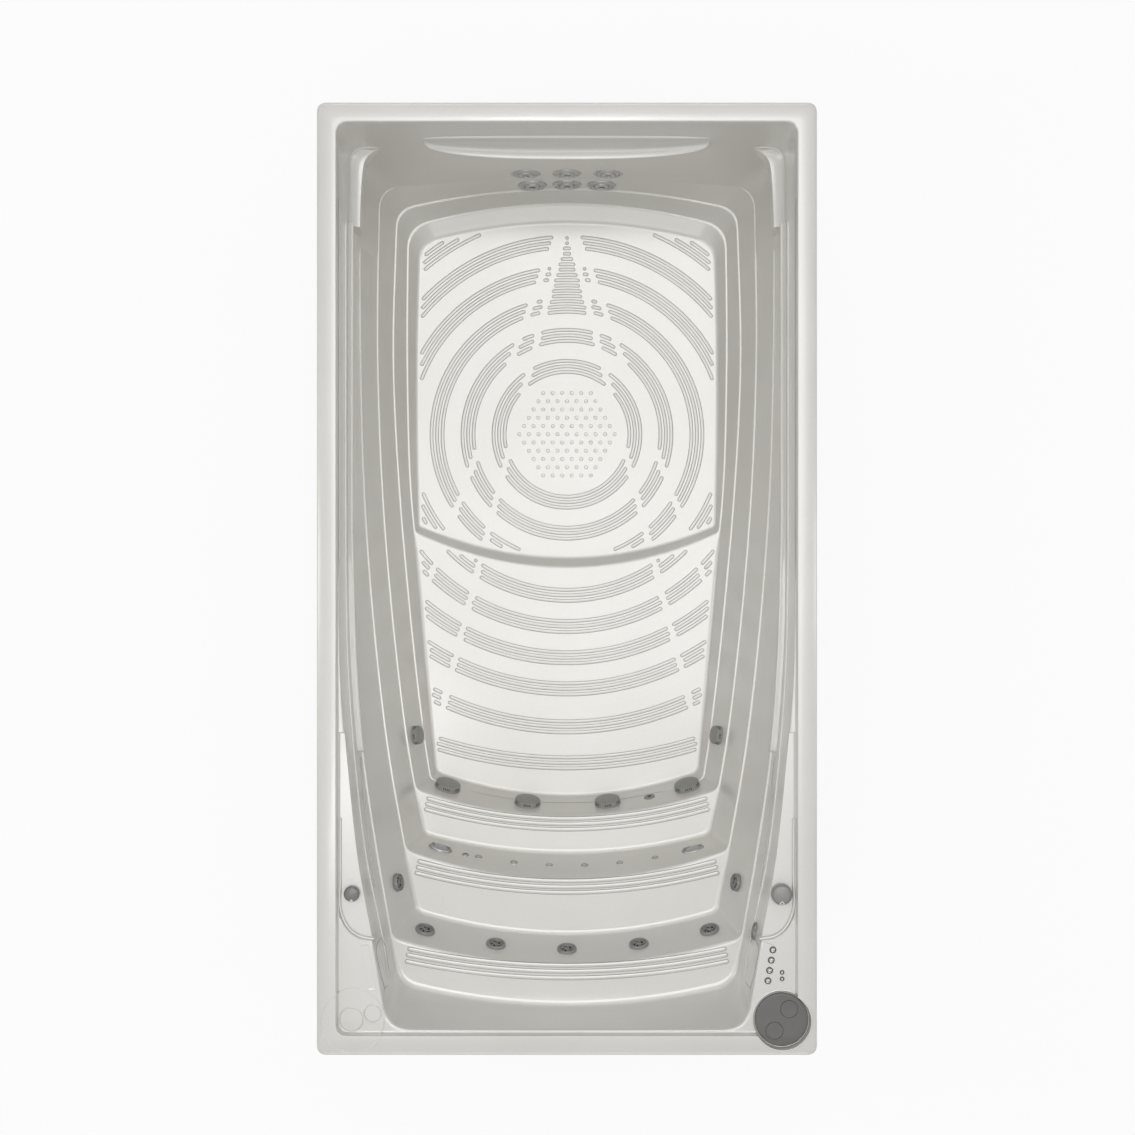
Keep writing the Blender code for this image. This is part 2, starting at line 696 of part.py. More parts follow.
def seat_cutter(cutters, seat, stem, flange, depth, sides):
    """A stepped cutter: a hole for the stem and a flat for the flange, with as many sides."""
    top = depth + OVERRUN
    profile = [(0.0, top), (flange + GAP, top), (flange + GAP, 0.0), (stem + GAP, 0.0),
               (stem + GAP, -top), (0.0, -top)]
    place(turned("seat_cutter", profile, sides, cutters), seat)


def jet_body(name, seat, flange, face, body, depth, sides, collection):
    """A jet's flange and body, hollow in front for the turning face."""
    floor_z = FACE_SEAT
    profile = [(face, FLANGE_PROUD), (flange - FLANGE_EDGE, FLANGE_PROUD),
               (flange, FLANGE_PROUD - FLANGE_EDGE), (flange, GAP), (body, GAP),
               (body, -depth), (0.0, -depth)]
    profile = [(0.0, floor_z), (face, floor_z)] + profile
    return place(turned(name, profile, sides, collection), seat)


def jet_face(name, seat, face, sides, collection, material):
    """The turning face of a jet, clear of the flats of its faceted seat, with a raised nozzle."""
    base = FACE_SEAT + GAP
    rim = base + FACE_THICK
    edge = face * math.cos(math.pi / sides) - GAP
    inner, nozzle, skirt = (face * share for share in NOZZLE_SHARES)
    profile = [(0.0, rim), (inner, rim), (nozzle, rim + NOZZLE_PROUD), (skirt, rim),
               (edge, rim), (edge, base), (0.0, base)]
    return place(turned(name, profile, sides, collection, material), seat)


def swim_jet_seats(tree):
    """Seats of the six swim jets on the north wall: the upper row, then the lower."""
    seats = []
    for z, spread in ((SWIM_UPPER_Z, SWIM_UPPER_SPREAD), (SWIM_LOWER_Z, SWIM_LOWER_SPREAD)):
        for x in (-spread, 0.0, spread):
            seats.append(wall_seat(tree, (x, 0.0, z), (0, 1, 0), SWIM_BODY))
    return seats


def therapy_jet_seats(tree):
    """Seats of the therapy jets, each with its flange radius: back, sides and wall."""
    seats = []
    for x in RISER_JET_SPREADS:
        seats.append((wall_seat(tree, (x, 0.0, RISER_JET_Z), (0, -1, 0), JET_BODY), JET_FLANGE))
    for heading in (-1, 1):
        seat = wall_seat(tree, (0.0, SIDE_JET_ALONG, RISER_JET_Z), (heading, 0, 0), JET_BODY)
        seats.append((seat, SIDE_JET_FLANGE))
    seat = wall_seat(tree, (0.0, WALL_JET_ALONG, WALL_JET_Z), (1, 0, 0), JET_BODY)
    seats.append((seat, SIDE_JET_FLANGE))
    return seats


def suction_seats(tree):
    """Seats of the suction fittings, each with its cover radius."""
    seats = []
    for x in SUCTION_SPREADS:
        seats.append((wall_seat(tree, (x, 0.0, SUCTION_Z), (0, -1, 0), SUCTION_BODY),
                      SUCTION_RADIUS))
    for heading in (-1, 1):
        seat = wall_seat(tree, (0.0, SIDE_SUCTION_ALONG, SIDE_SUCTION_Z), (heading, 0, 0),
                         SUCTION_BODY)
        seats.append((seat, SIDE_SUCTION_RADIUS))
    return seats


def riser_seats(tree, spreads, z, reach):
    """Seats on a riser at one height."""
    return [wall_seat(tree, (x, 0.0, z), (0, -1, 0), reach) for x in spreads]


def deck_items():
    """What stands on the deck: place, hole radius and number of sides of each."""
    items = [(DIVERTER_PLACE, DIVERTER_BODY, JET_SIDES), (AIR_PLACE, AIR_BODY, JET_SIDES)]
    for spot in BUTTON_PLACES:
        items.append((spot, BUTTON_RADIUS * BUTTON_BODY_SHARE, BUTTON_SIDES))
    for spot in SMALL_BUTTON_PLACES:
        items.append((spot, SMALL_BUTTON_RADIUS * BUTTON_BODY_SHARE, BUTTON_SIDES))
    return items


def oval_seat(seat):
    """A seat that makes a turned piece oval, wider than high."""
    return seat @ Matrix.Diagonal((1.0, LIGHT_SQUASH_SHARE, 1.0, 1.0))


def make_shell(collection, cutters, seats, material):
    """The pool shell, with a hole and a flat seat for every fitting."""
    shell = add_object("shell", pool_skin(), collection, material)
    for seat in seats["swim"]:
        seat_cutter(cutters, seat, SWIM_BODY, SWIM_FLANGE, SWIM_DEPTH, SWIM_SIDES)
    for seat, flange in seats["therapy"]:
        seat_cutter(cutters, seat, JET_BODY, flange, JET_DEPTH, JET_SIDES)
    for seat, cover in seats["suction"]:
        seat_cutter(cutters, seat, SUCTION_BODY, cover, SUCTION_DEPTH, SWIM_SIDES)
    for seat in seats["light"]:
        seat_cutter(cutters, oval_seat(seat), LIGHT_STEM, LIGHT_RADIUS, LIGHT_DEPTH, SWIM_SIDES)
    for seat in seats["injector"]:
        seat_cutter(cutters, seat, INJECTOR_STEM, INJECTOR_RADIUS, INJECTOR_DEPTH, SMALL_SIDES)
    seat_cutter(cutters, seats["sensor"], INJECTOR_STEM, SENSOR_RADIUS, INJECTOR_DEPTH,
                SMALL_SIDES)
    seat_cutter(cutters, seats["return"], INJECTOR_STEM, RETURN_RADIUS, INJECTOR_DEPTH,
                SMALL_SIDES)
    for spot, stem, sides in deck_items():
        hole = [(0.0, OVERRUN), (stem + GAP, OVERRUN), (stem + GAP, -OVERRUN), (0.0, -OVERRUN)]
        place(turned("deck_cutter", hole, sides, cutters), deck_seat(spot))
    top, low = RIM_FLAT, -CANISTER_DEPTH
    radius = CANISTER_RADIUS + GAP
    well = [(0.0, top), (radius, top), (radius, low), (0.0, low)]
    place(turned("well_cutter", well, FILTER_SIDES, cutters), deck_seat(FILTER_PLACE))
    modifier = shell.modifiers.new("holes", "BOOLEAN")
    modifier.operand_type = "COLLECTION"
    modifier.collection = cutters
    modifier.solver = "EXACT"
    return shell


def behind(seat, depth):
    """The point on a seat's axis at a depth behind the wall."""
    return seat @ Vector((0.0, 0.0, -depth))


def swim_jets(parts, scratch, seats, shades):
    """Six swim jets on one glued run of pipe from both pumps, and their turning nozzles."""
    pieces = []
    for i, seat in enumerate(seats["swim"]):
        pieces.append(jet_body("body", seat, SWIM_FLANGE, SWIM_FACE, SWIM_BODY, SWIM_DEPTH,
                               SWIM_SIDES, scratch))
        jet_face(f"swim_jet_nozzle_{i + 1}", seat, SWIM_FACE, SWIM_SIDES, parts,
                 shades["silver"])
    spread = (SWIM_UPPER_SPREAD + SWIM_LOWER_SPREAD) / 2
    riser_y = PIPE_END_Y + STUB_RADIUS
    for x in (-spread, 0.0, spread):
        pieces.append(pipe("riser", [(x, riser_y, PIPE_LOW_Z), (x, riser_y, SWIM_UPPER_Z)],
                           STUB_RADIUS, scratch))
    outlet_x = PUMP_FRONT + WET_LENGTH / 2
    half = [(outlet_x, PUMP_ALONG, OUTLET_TOP + GAP), (outlet_x, PUMP_ALONG, PIPE_CROSS_Z),
            (PIPE_SIDE_X, PUMP_ALONG, PIPE_CROSS_Z), (PIPE_SIDE_X, PUMP_ALONG, PIPE_LOW_Z),
            (PIPE_SIDE_X, PIPE_END_Y, PIPE_LOW_Z)]
    other = [(-x, y, z) for x, y, z in reversed(half)]
    pieces.append(pipe("run", half + other, PIPE_RADIUS, scratch))
    united("swim_jet_plumbing", pieces, parts, scratch, shades["pipe"])


def therapy_jets(parts, scratch, seats, shades):
    """The back jets on one pipe, and the three jets in the side walls."""
    bodies = []
    for i, (seat, flange) in enumerate(seats["therapy"]):
        bodies.append(jet_body("body", seat, flange, JET_FACE, JET_BODY, JET_DEPTH, JET_SIDES,
                               scratch))
        jet_face(f"therapy_jet_face_{i + 1}", seat, JET_FACE, JET_SIDES, parts,
                 shades["silver"])
    count = len(RISER_JET_SPREADS)
    route = [behind(seat, JET_DEPTH - STUB_RADIUS) for seat, flange in seats["therapy"][:count]]
    back = bodies[:count] + [pipe("feed", route, STUB_RADIUS, scratch, STUB_RADIUS)]
    united("back_jet_bodies", back, parts, scratch, shades["grey"])
    for name, body in zip(("left", "right", "wall"), bodies[count:]):
        rename(body, f"{name}_jet_body", parts, shades["grey"])


def rename(obj, name, collection, material):
    """Make a form a piece of its own, under this name."""
    obj.users_collection[0].objects.unlink(obj)
    collection.objects.link(obj)
    obj.name = name
    obj.data.materials.append(material)


def suction_body(seat, radius, scratch):
    """A suction fitting's flange and its body behind the wall."""
    seam = SUCTION_RIM
    body = [(0.0, seam), (radius - seam, seam), (radius - seam, GAP), (SUCTION_BODY, GAP),
            (SUCTION_BODY, -SUCTION_DEPTH), (0.0, -SUCTION_DEPTH)]
    return place(turned("body", body, SWIM_SIDES, scratch), seat)


def suction_cover(name, seat, radius, parts, material):
    """A domed cover over a suction fitting."""
    seam = SUCTION_RIM
    base = seam + GAP
    cover = [(0.0, SUCTION_PROUD), (radius * COVER_SHARES[0], SUCTION_PROUD * COVER_SHARES[1]),
             (radius * COVER_SHARES[2], SUCTION_PROUD * COVER_SHARES[3]),
             (radius, SUCTION_PROUD * COVER_SIDE_SHARE), (radius, GAP), (radius - seam + GAP, GAP),
             (radius - seam + GAP, base), (0.0, base)]
    return place(turned(name, cover, SWIM_SIDES, parts, material), seat)


def suctions(parts, scratch, seats, shades):
    """Suction fittings on their manifold with the pumps' inlet pipes, and the covers."""
    pieces = []
    manifold_z = PUMP_AXIS_Z
    count = len(SUCTION_SPREADS)
    for i, (seat, radius) in enumerate(seats["suction"][:count]):
        pieces.append(suction_body(seat, radius, scratch))
        suction_cover(f"suction_cover_{i + 1}", seat, radius, parts, shades["dark"])
        start = behind(seat, SUCTION_DEPTH - STUB_RADIUS)
        pieces.append(pipe("stub", [start, (start.x, MANIFOLD_Y, manifold_z)], STUB_RADIUS,
                           scratch))
    seat = seats["return"]
    pieces.append(stemmed(seat, RETURN_RADIUS, INJECTOR_STEM, SUCTION_DEPTH, INJECTOR_PROUD,
                          scratch))
    start = behind(seat, SUCTION_DEPTH - INJECTOR_STEM)
    pieces.append(pipe("stub", [start, (start.x, MANIFOLD_Y, manifold_z)], INJECTOR_STEM / 2,
                       scratch))
    pieces.append(pipe("manifold", [(-MANIFOLD_REACH, MANIFOLD_Y, manifold_z),
                                    (MANIFOLD_REACH, MANIFOLD_Y, manifold_z)], PIPE_RADIUS,
                       scratch))
    for side in (-1, 1):
        x = side * SUCTION_PIPE_X
        inlet_x = side * (PUMP_FRONT - INLET_LENGTH - GAP)
        pieces.append(pipe("inlet", [(inlet_x, PUMP_ALONG, manifold_z),
                                     (x, PUMP_ALONG, manifold_z), (x, MANIFOLD_Y, manifold_z)],
                           PIPE_RADIUS, scratch, SUCTION_PIPE_BEND))
    united("suction_plumbing", pieces, parts, scratch, shades["pipe"])
    for name, (seat, radius) in zip(("left", "right"), seats["suction"][count:]):
        dome = [(0.0, SUCTION_PROUD),
                (radius * COVER_SHARES[0], SUCTION_PROUD * COVER_SHARES[1]),
                (radius * COVER_SHARES[2], SUCTION_PROUD * COVER_SHARES[3]),
                (radius, SUCTION_PROUD * COVER_SIDE_SHARE), (radius, GAP), (SUCTION_BODY, GAP),
                (SUCTION_BODY, -SUCTION_DEPTH), (0.0, -SUCTION_DEPTH)]
        place(turned(f"side_suction_{name}", dome, SWIM_SIDES, parts, shades["dark"]), seat)


def step_lights(parts, seats, shades):
    """The two oval step lights: a chromed bezel and a lens each."""
    edge = FLANGE_EDGE
    rim = LIGHT_LENS - GAP * 2
    bezel = [(0.0, FACE_SEAT), (LIGHT_LENS, FACE_SEAT), (LIGHT_LENS, FLANGE_PROUD),
             (LIGHT_RADIUS - edge, FLANGE_PROUD), (LIGHT_RADIUS, FLANGE_PROUD - edge),
             (LIGHT_RADIUS, GAP), (LIGHT_STEM, GAP), (LIGHT_STEM, -LIGHT_DEPTH),
             (0.0, -LIGHT_DEPTH)]
    lens = [(0.0, FLANGE_PROUD + edge), (rim * DOME_SHARES[2], FLANGE_PROUD + edge / 2),
            (rim, FLANGE_PROUD - edge), (rim, FACE_SEAT + GAP), (0.0, FACE_SEAT + GAP)]
    for name, seat in zip(("left", "right"), seats["light"]):
        oval = oval_seat(seat)
        place(turned(f"step_light_{name}", bezel, SWIM_SIDES, parts, shades["chrome"]), oval)
        place(turned(f"light_lens_{name}", lens, SWIM_SIDES, parts, shades["lens"]), oval)


def stemmed(seat, radius, stem, depth, proud, scratch):
    """A small fitting with a rounded head and a stem through the wall."""
    head = [(0.0, proud), (radius * DOME_SHARES[2], proud), (radius, proud / 2), (radius, GAP),
            (stem, GAP), (stem, -depth), (0.0, -depth)]
    return place(turned("stemmed", head, SMALL_SIDES, scratch), seat)


def air_injectors(parts, scratch, seats, shades):
    """Six air injectors on one air line, and the temperature sensor."""
    pieces = []
    for seat in seats["injector"]:
        pieces.append(stemmed(seat, INJECTOR_RADIUS, INJECTOR_STEM, INJECTOR_DEPTH,
                              INJECTOR_PROUD, scratch))
    route = [behind(seat, INJECTOR_DEPTH - AIR_LINE_RADIUS) for seat in seats["injector"]]
    pieces.append(pipe("air_line", route, AIR_LINE_RADIUS, scratch, STUB_RADIUS))
    united("air_injectors", pieces, parts, scratch, shades["grey"])
    sensor = stemmed(seats["sensor"], SENSOR_RADIUS, INJECTOR_STEM, INJECTOR_DEPTH,
                     INJECTOR_PROUD, scratch)
    rename(sensor, "temperature_sensor", parts, shades["dark"])


def button_housing(spot, radius, scratch):
    """A push button's ring and body, solid until its bore is cut."""
    top = BUTTON_RING + GAP
    body = radius * BUTTON_BODY_SHARE
    housing = [(0.0, top), (radius, top), (radius, GAP), (body, GAP), (body, -BUTTON_DEPTH),
               (0.0, -BUTTON_DEPTH)]
    return place(turned("housing", housing, BUTTON_SIDES, scratch), deck_seat(spot))


def button_bore(spot, radius, bores):
    """The stepped bore that a button's cap slides in."""
    inner = radius * BUTTON_CAP_SHARE
    stem = radius * BUTTON_STEM_SHARE
    step = GAP * 2
    bore = [(0.0, OVERRUN), (inner, OVERRUN), (inner, step), (stem, step),
            (stem, -BUTTON_DEPTH - OVERRUN), (0.0, -BUTTON_DEPTH - OVERRUN)]
    return place(turned("bore", bore, BUTTON_SIDES, bores), deck_seat(spot))


def button_cap(name, spot, radius, parts, material):
    """A push button's cap on its stem."""
    inner = radius * BUTTON_CAP_SHARE - BUTTON_SLACK
    stem = radius * BUTTON_STEM_SHARE - BUTTON_SLACK
    low = GAP * 3 + BUTTON_TRAVEL
    top = low + BUTTON_PROUD
    cap = [(0.0, top), (inner * DOME_SHARES[2], top), (inner, top - BUTTON_PROUD / 4),
           (inner, low), (stem, low), (stem, -BUTTON_DEPTH), (0.0, -BUTTON_DEPTH)]
    place(turned(name, cap, BUTTON_SIDES, parts, material), deck_seat(spot))


def buttons(parts, scratch, shades):
    """Six push buttons in housings that share one block under the deck."""
    spots = [(f"control_button_{i + 1}", spot, BUTTON_RADIUS)
             for i, spot in enumerate(BUTTON_PLACES)]
    spots += [(f"light_button_{i + 1}", spot, SMALL_BUTTON_RADIUS)
              for i, spot in enumerate(SMALL_BUTTON_PLACES)]
    bores = bpy.data.collections.new("button_bores")
    scratch.children.link(bores)
    xs = [spot[0] for name, spot, radius in spots]
    ys = [spot[1] for name, spot, radius in spots]
    high = DECK_Z - WALL - GAP
    margin = SMALL_BUTTON_RADIUS
    pieces = [box("block", (min(xs) - margin, min(ys) - margin, high - BLOCK_THICK),
                  (max(xs) + margin, max(ys) + margin, high), scratch)]
    for name, spot, radius in spots:
        pieces.append(button_housing(spot, radius, scratch))
        button_bore(spot, radius, bores)
        button_cap(name, spot, radius, parts, shades["chrome"])
    block = united("button_block", pieces, parts, scratch, shades["silver"])
    modifier = block.modifiers.new("bores", "BOOLEAN")
    modifier.operand_type = "COLLECTION"
    modifier.collection = bores
    modifier.solver = "EXACT"


def make_knob(name, spot, radius, height, parts, scratch, material):
    """A turning knob on the deck with a raised grip bar across it."""
    low = KNOB_COLLAR + GAP * 2
    edge = FLANGE_EDGE
    bore = KNOB_SPINDLE + KNOB_CLEAR
    top = height - KNOB_GRIP_HEIGHT
    profile = [(0.0, top), (radius * DOME_SHARES[2] - edge, top), (radius, top - edge * 2),
               (radius, low), (bore, low), (bore, top - edge * 2), (0.0, top - edge * 2)]
    seat = deck_seat(spot)
    knob = place(turned(name, profile, KNOB_SIDES, parts, material), seat)
    half = radius * GRIP_REACH_SHARE
    grip = box("grip_form", (-half, -KNOB_GRIP_WIDTH / 2, top - edge),
               (half, KNOB_GRIP_WIDTH / 2, height), scratch)
    grip.location += Vector((spot[0], spot[1], DECK_Z))
    cut(knob, grip, "UNION")
    return knob


def valve_body(name, spot, radius, stem, depth, knob_height, parts, material):
    """A valve body through the deck, with a collar on top and a spindle in its knob."""
    top = knob_height - KNOB_GRIP_HEIGHT - FLANGE_EDGE * 2 - GAP * 2
    collar = radius * DOME_SHARES[2]
    profile = [(0.0, top), (KNOB_SPINDLE, top), (KNOB_SPINDLE, KNOB_COLLAR),
               (collar, KNOB_COLLAR), (collar, GAP), (stem, GAP), (stem, -depth), (0.0, -depth)]
    place(turned(name, profile, JET_SIDES, parts, material), deck_seat(spot))


def deck_sets(parts, scratch, shades):
    """The two knobs and their valve bodies."""
    valve_body("diverter_valve_body", DIVERTER_PLACE, DIVERTER_RADIUS, DIVERTER_BODY,
               DIVERTER_DEPTH, DIVERTER_HEIGHT, parts, shades["dark"])
    make_knob("diverter_knob", DIVERTER_PLACE, DIVERTER_RADIUS, DIVERTER_HEIGHT, parts, scratch,
              shades["grey"])
    valve_body("air_valve_body", AIR_PLACE, AIR_RADIUS, AIR_BODY, AIR_DEPTH, AIR_HEIGHT, parts,
               shades["dark"])
    make_knob("air_knob", AIR_PLACE, AIR_RADIUS, AIR_HEIGHT, parts, scratch, shades["grey"])


def filter_set(parts, scratch, shades):
    """The filter canister in its well, the cartridge on the canister's foot, and the lid."""
    seat = deck_seat(FILTER_PLACE)
    inner = CANISTER_RADIUS - CANISTER_WALL
    top = CANISTER_TOP - DECK_Z
    low = -CANISTER_DEPTH
    shelf = inner - LID_SKIRT_WALL
    ledge = LID_PROUD
    profile = [(inner, top), (CANISTER_RADIUS, top), (CANISTER_RADIUS, low), (CANISTER_PORT, low),
               (CANISTER_PORT, low + CANISTER_WALL), (shelf, low + CANISTER_WALL),
               (shelf, ledge), (inner, ledge)]
    place(turned("filter_canister", profile, FILTER_SIDES, parts, shades["dark"], True), seat)
    base = ledge + GAP
    rise = base + LID_THICK
    skirt = shelf - KNOB_CLEAR
    edge = FLANGE_EDGE
    lid = [(0.0, rise), (LID_RADIUS - edge, rise), (LID_RADIUS, rise - edge), (LID_RADIUS, base),
           (skirt, base), (skirt, -LID_SKIRT), (skirt - LID_SKIRT_WALL, -LID_SKIRT),
           (skirt - LID_SKIRT_WALL, base), (0.0, base)]
    cover = place(turned("filter_lid", lid, FILTER_SIDES, parts, shades["dark"]), seat)
    for turn in (-1, 1):
        slant = turn * DIMPLE_SPREAD * math.cos(DIMPLE_ANGLE)
        dimple = [(0.0, rise + OVERRUN), (DIMPLE_RADIUS, rise + OVERRUN),
                  (DIMPLE_RADIUS, rise - DIMPLE_DEPTH), (0.0, rise - DIMPLE_DEPTH)]
        spot = (FILTER_PLACE[0] + slant, FILTER_PLACE[1] + slant)
        cut(cover, place(turned("dimple_cutter", dimple, JET_SIDES, scratch), deck_seat(spot)))
    foot = low + CANISTER_WALL + GAP
    cap_low = foot + CARTRIDGE_CAP
    cap_high = foot + CARTRIDGE_LENGTH - CARTRIDGE_CAP
    end = foot + CARTRIDGE_LENGTH
    pleats = CARTRIDGE_RADIUS - CARTRIDGE_CAP / 2
    cartridge = [(CARTRIDGE_CORE, end), (CARTRIDGE_RADIUS, end), (CARTRIDGE_RADIUS, cap_high),
                 (pleats, cap_high), (pleats, cap_low), (CARTRIDGE_RADIUS, cap_low),
                 (CARTRIDGE_RADIUS, foot), (CARTRIDGE_CORE, foot)]
    place(turned("filter_cartridge", cartridge, SWIM_SIDES, parts, shades["white"], True), seat)


def cabinet_outline(reach_x, reach_y, radius):
    """A rounded rectangle in plan."""
    points = []
    for turn in range(4):
        sign_x = 1 if turn in (0, 3) else -1
        sign_y = 1 if turn in (0, 1) else -1
        centre = (sign_x * (reach_x - radius), sign_y * (reach_y - radius))
        for step in range(TRIM_STEPS + 1):
            angle = math.pi / 2 * (turn + step / TRIM_STEPS)
            points.append((centre[0] + radius * math.cos(angle),
                           centre[1] + radius * math.sin(angle)))
    return points


def make_pan(parts, scratch, material):
    """The moulded base pan, with the pads that the shell's floors rest on."""
    outline = cabinet_outline(CABINET_X, CABINET_Y, CABINET_CORNER)
    pieces = [as_mesh(flat_outline("pan", outline, 0.0, PAN_THICK, scratch))]
    for along, across in SUPPORT_SHARES:
        y = along * LENGTH
        top = (FLOOR_Z if along < BAND_LOW_SHARES[0] else PIT_Z) - WALL - GAP
        for side in (-1, 1):
            x = side * across * HALF_WIDTH
            pieces.append(box("pad", (x - SUPPORT_WIDTH, y - SUPPORT_LENGTH / 2, PAN_THICK / 2),
                              (x + SUPPORT_WIDTH, y + SUPPORT_LENGTH / 2, top), scratch))
    united("base_pan", pieces, parts, scratch, material)


def corner_trim(side, end, scratch):
    """A quarter round trim at one corner of the cabinet, under the lip."""
    centre = (side * (CABINET_X - CABINET_CORNER), end * (CABINET_Y - CABINET_CORNER))
    outline = []
    for radius, steps in ((CABINET_CORNER, range(TRIM_STEPS + 1)),
                          (CABINET_CORNER - TRIM_WALL, range(TRIM_STEPS, -1, -1))):
        for step in steps:
            angle = math.pi / 2 * step / TRIM_STEPS
            outline.append((centre[0] + side * radius * math.cos(angle),
                            centre[1] + end * radius * math.sin(angle)))
    if side != end:
        outline.reverse()
    return as_mesh(flat_outline("trim", outline, PAN_TOP, HEIGHT - LIP_DROP - GAP, scratch))


def make_panels(parts, scratch, shades):
    """Side panels with their corner trims, end panels, and the access panel."""
    low, high = PAN_TOP, HEIGHT - PANEL_TOP_DROP
    side_y = CABINET_Y - CABINET_CORNER + TRIM_WALL
    end_x = CABINET_X - CABINET_CORNER - GAP
    for name, side in (("side_panel_left", -1), ("side_panel_right", 1)):
        xs = sorted((side * PANEL_BACK_X, side * (CABINET_X - TRIM_WALL * TRIM_SINK_SHARE)))
        panel = box("panel", (xs[0], -side_y, low), (xs[1], side_y, high), scratch)
        pieces = [panel, corner_trim(side, -1, scratch), corner_trim(side, 1, scratch)]
        united(name, pieces, parts, scratch, shades["cabinet"])
    box("end_panel_north", (-end_x, PANEL_BACK_Y, low), (end_x, CABINET_Y, high), parts,
        shades["cabinet"])
    south = box("end_panel_south", (-end_x, -CABINET_Y, low), (end_x, -PANEL_BACK_Y, high),
                parts, shades["cabinet"])
    half = ACCESS_WIDTH / 2
    hole = box("access_cutter", (-half, -CABINET_Y - OVERRUN, ACCESS_BOTTOM),
               (half, -PANEL_BACK_Y + OVERRUN, ACCESS_TOP), scratch)
    cut(south, hole)
    box("access_panel", (-half + GAP, -CABINET_Y, ACCESS_BOTTOM + GAP),
        (half - GAP, -PANEL_BACK_Y, ACCESS_TOP - GAP), parts, shades["cabinet"])


def make_frame(parts, scratch, material):
    """The timber frame: rails under the rim and on the pan, and posts between them."""
    inner_x, inner_y = FRAME_X - FRAME_THICK, FRAME_Y - FRAME_THICK
    stop_x = FILTER_PLACE[0] - CANISTER_RADIUS - FRAME_CLEAR
    stop_y = FILTER_PLACE[1] + CANISTER_RADIUS + FRAME_CLEAR
    timbers = []
    for low, top in ((True, PAN_TOP + RAIL_HEIGHT), (False, RAIL_TOP)):
        base = top - RAIL_HEIGHT
        right_end = -FRAME_Y if low else stop_y
        south_end = FRAME_X if low else stop_x
        timbers += [
            box("rail", (-FRAME_X, -FRAME_Y, base), (-inner_x, FRAME_Y, top), scratch),
            box("rail", (inner_x, right_end, base), (FRAME_X, FRAME_Y, top), scratch),
            box("rail", (-FRAME_X, inner_y, base), (FRAME_X, FRAME_Y, top), scratch),
            box("rail", (-FRAME_X, -FRAME_Y, base), (south_end, -inner_y, top), scratch),
        ]
    low = PAN_TOP + RAIL_HEIGHT / 2
    high = RAIL_TOP - RAIL_HEIGHT / 2
    for side in (-1, 1):
        xs = sorted((side * inner_x, side * FRAME_X))
        starts = [share * LENGTH for share in POST_ALONG_SHARES] + [inner_y]
        starts.append(-FRAME_Y if side < 0 else stop_y)
        for y in starts:
            timbers.append(box("post", (xs[0], y, low), (xs[1], y + FRAME_THICK, high), scratch))
    timbers.append(box("post", (stop_x - FRAME_THICK, -FRAME_Y, low), (stop_x, -inner_y, high),
                       scratch))
    united("timber_frame", timbers, parts, scratch, material)


def make_bearers(parts, scratch, material):
    """Bearers under the seat and the treads, on legs that stand on two sills."""
    timbers = []
    half = BEARER_WIDTH / 2
    reach = BEARER_REACH
    sill_top = PAN_TOP + BEARER_HEIGHT
    for z, share in ((BENCH_Z, BENCH_BEARER_SHARE), (UPPER_TREAD_Z, UPPER_BEARER_SHARE),
                     (LOWER_TREAD_Z, LOWER_BEARER_SHARE)):
        y = share * LENGTH
        top = z - WALL - GAP
        base = top - BEARER_HEIGHT
        timbers.append(box("bearer", (-reach, y - half, base), (reach, y + half, top), scratch))
        for side in (-1, 1):
            xs = sorted((side * reach, side * (reach - BEARER_WIDTH)))
            timbers.append(box("leg", (xs[0], y - half, sill_top - half),
                               (xs[1], y + half, base + half), scratch))
    for side in (-1, 1):
        xs = sorted((side * reach, side * (reach - BEARER_WIDTH)))
        timbers.append(box("sill", (xs[0], BENCH_BEARER_SHARE * LENGTH - half, PAN_TOP),
                           (xs[1], LOWER_BEARER_SHARE * LENGTH + half, sill_top), scratch))
    united("step_frame", timbers, parts, scratch, material)


def pump_seat(side):
    """The frame of a pump: its Z axis runs along the shaft, towards the middle."""
    turn = Matrix.Rotation(-side * math.pi / 2, 4, "Y")
    return Matrix.Translation((side * PUMP_FRONT, PUMP_ALONG, PUMP_AXIS_Z)) @ turn


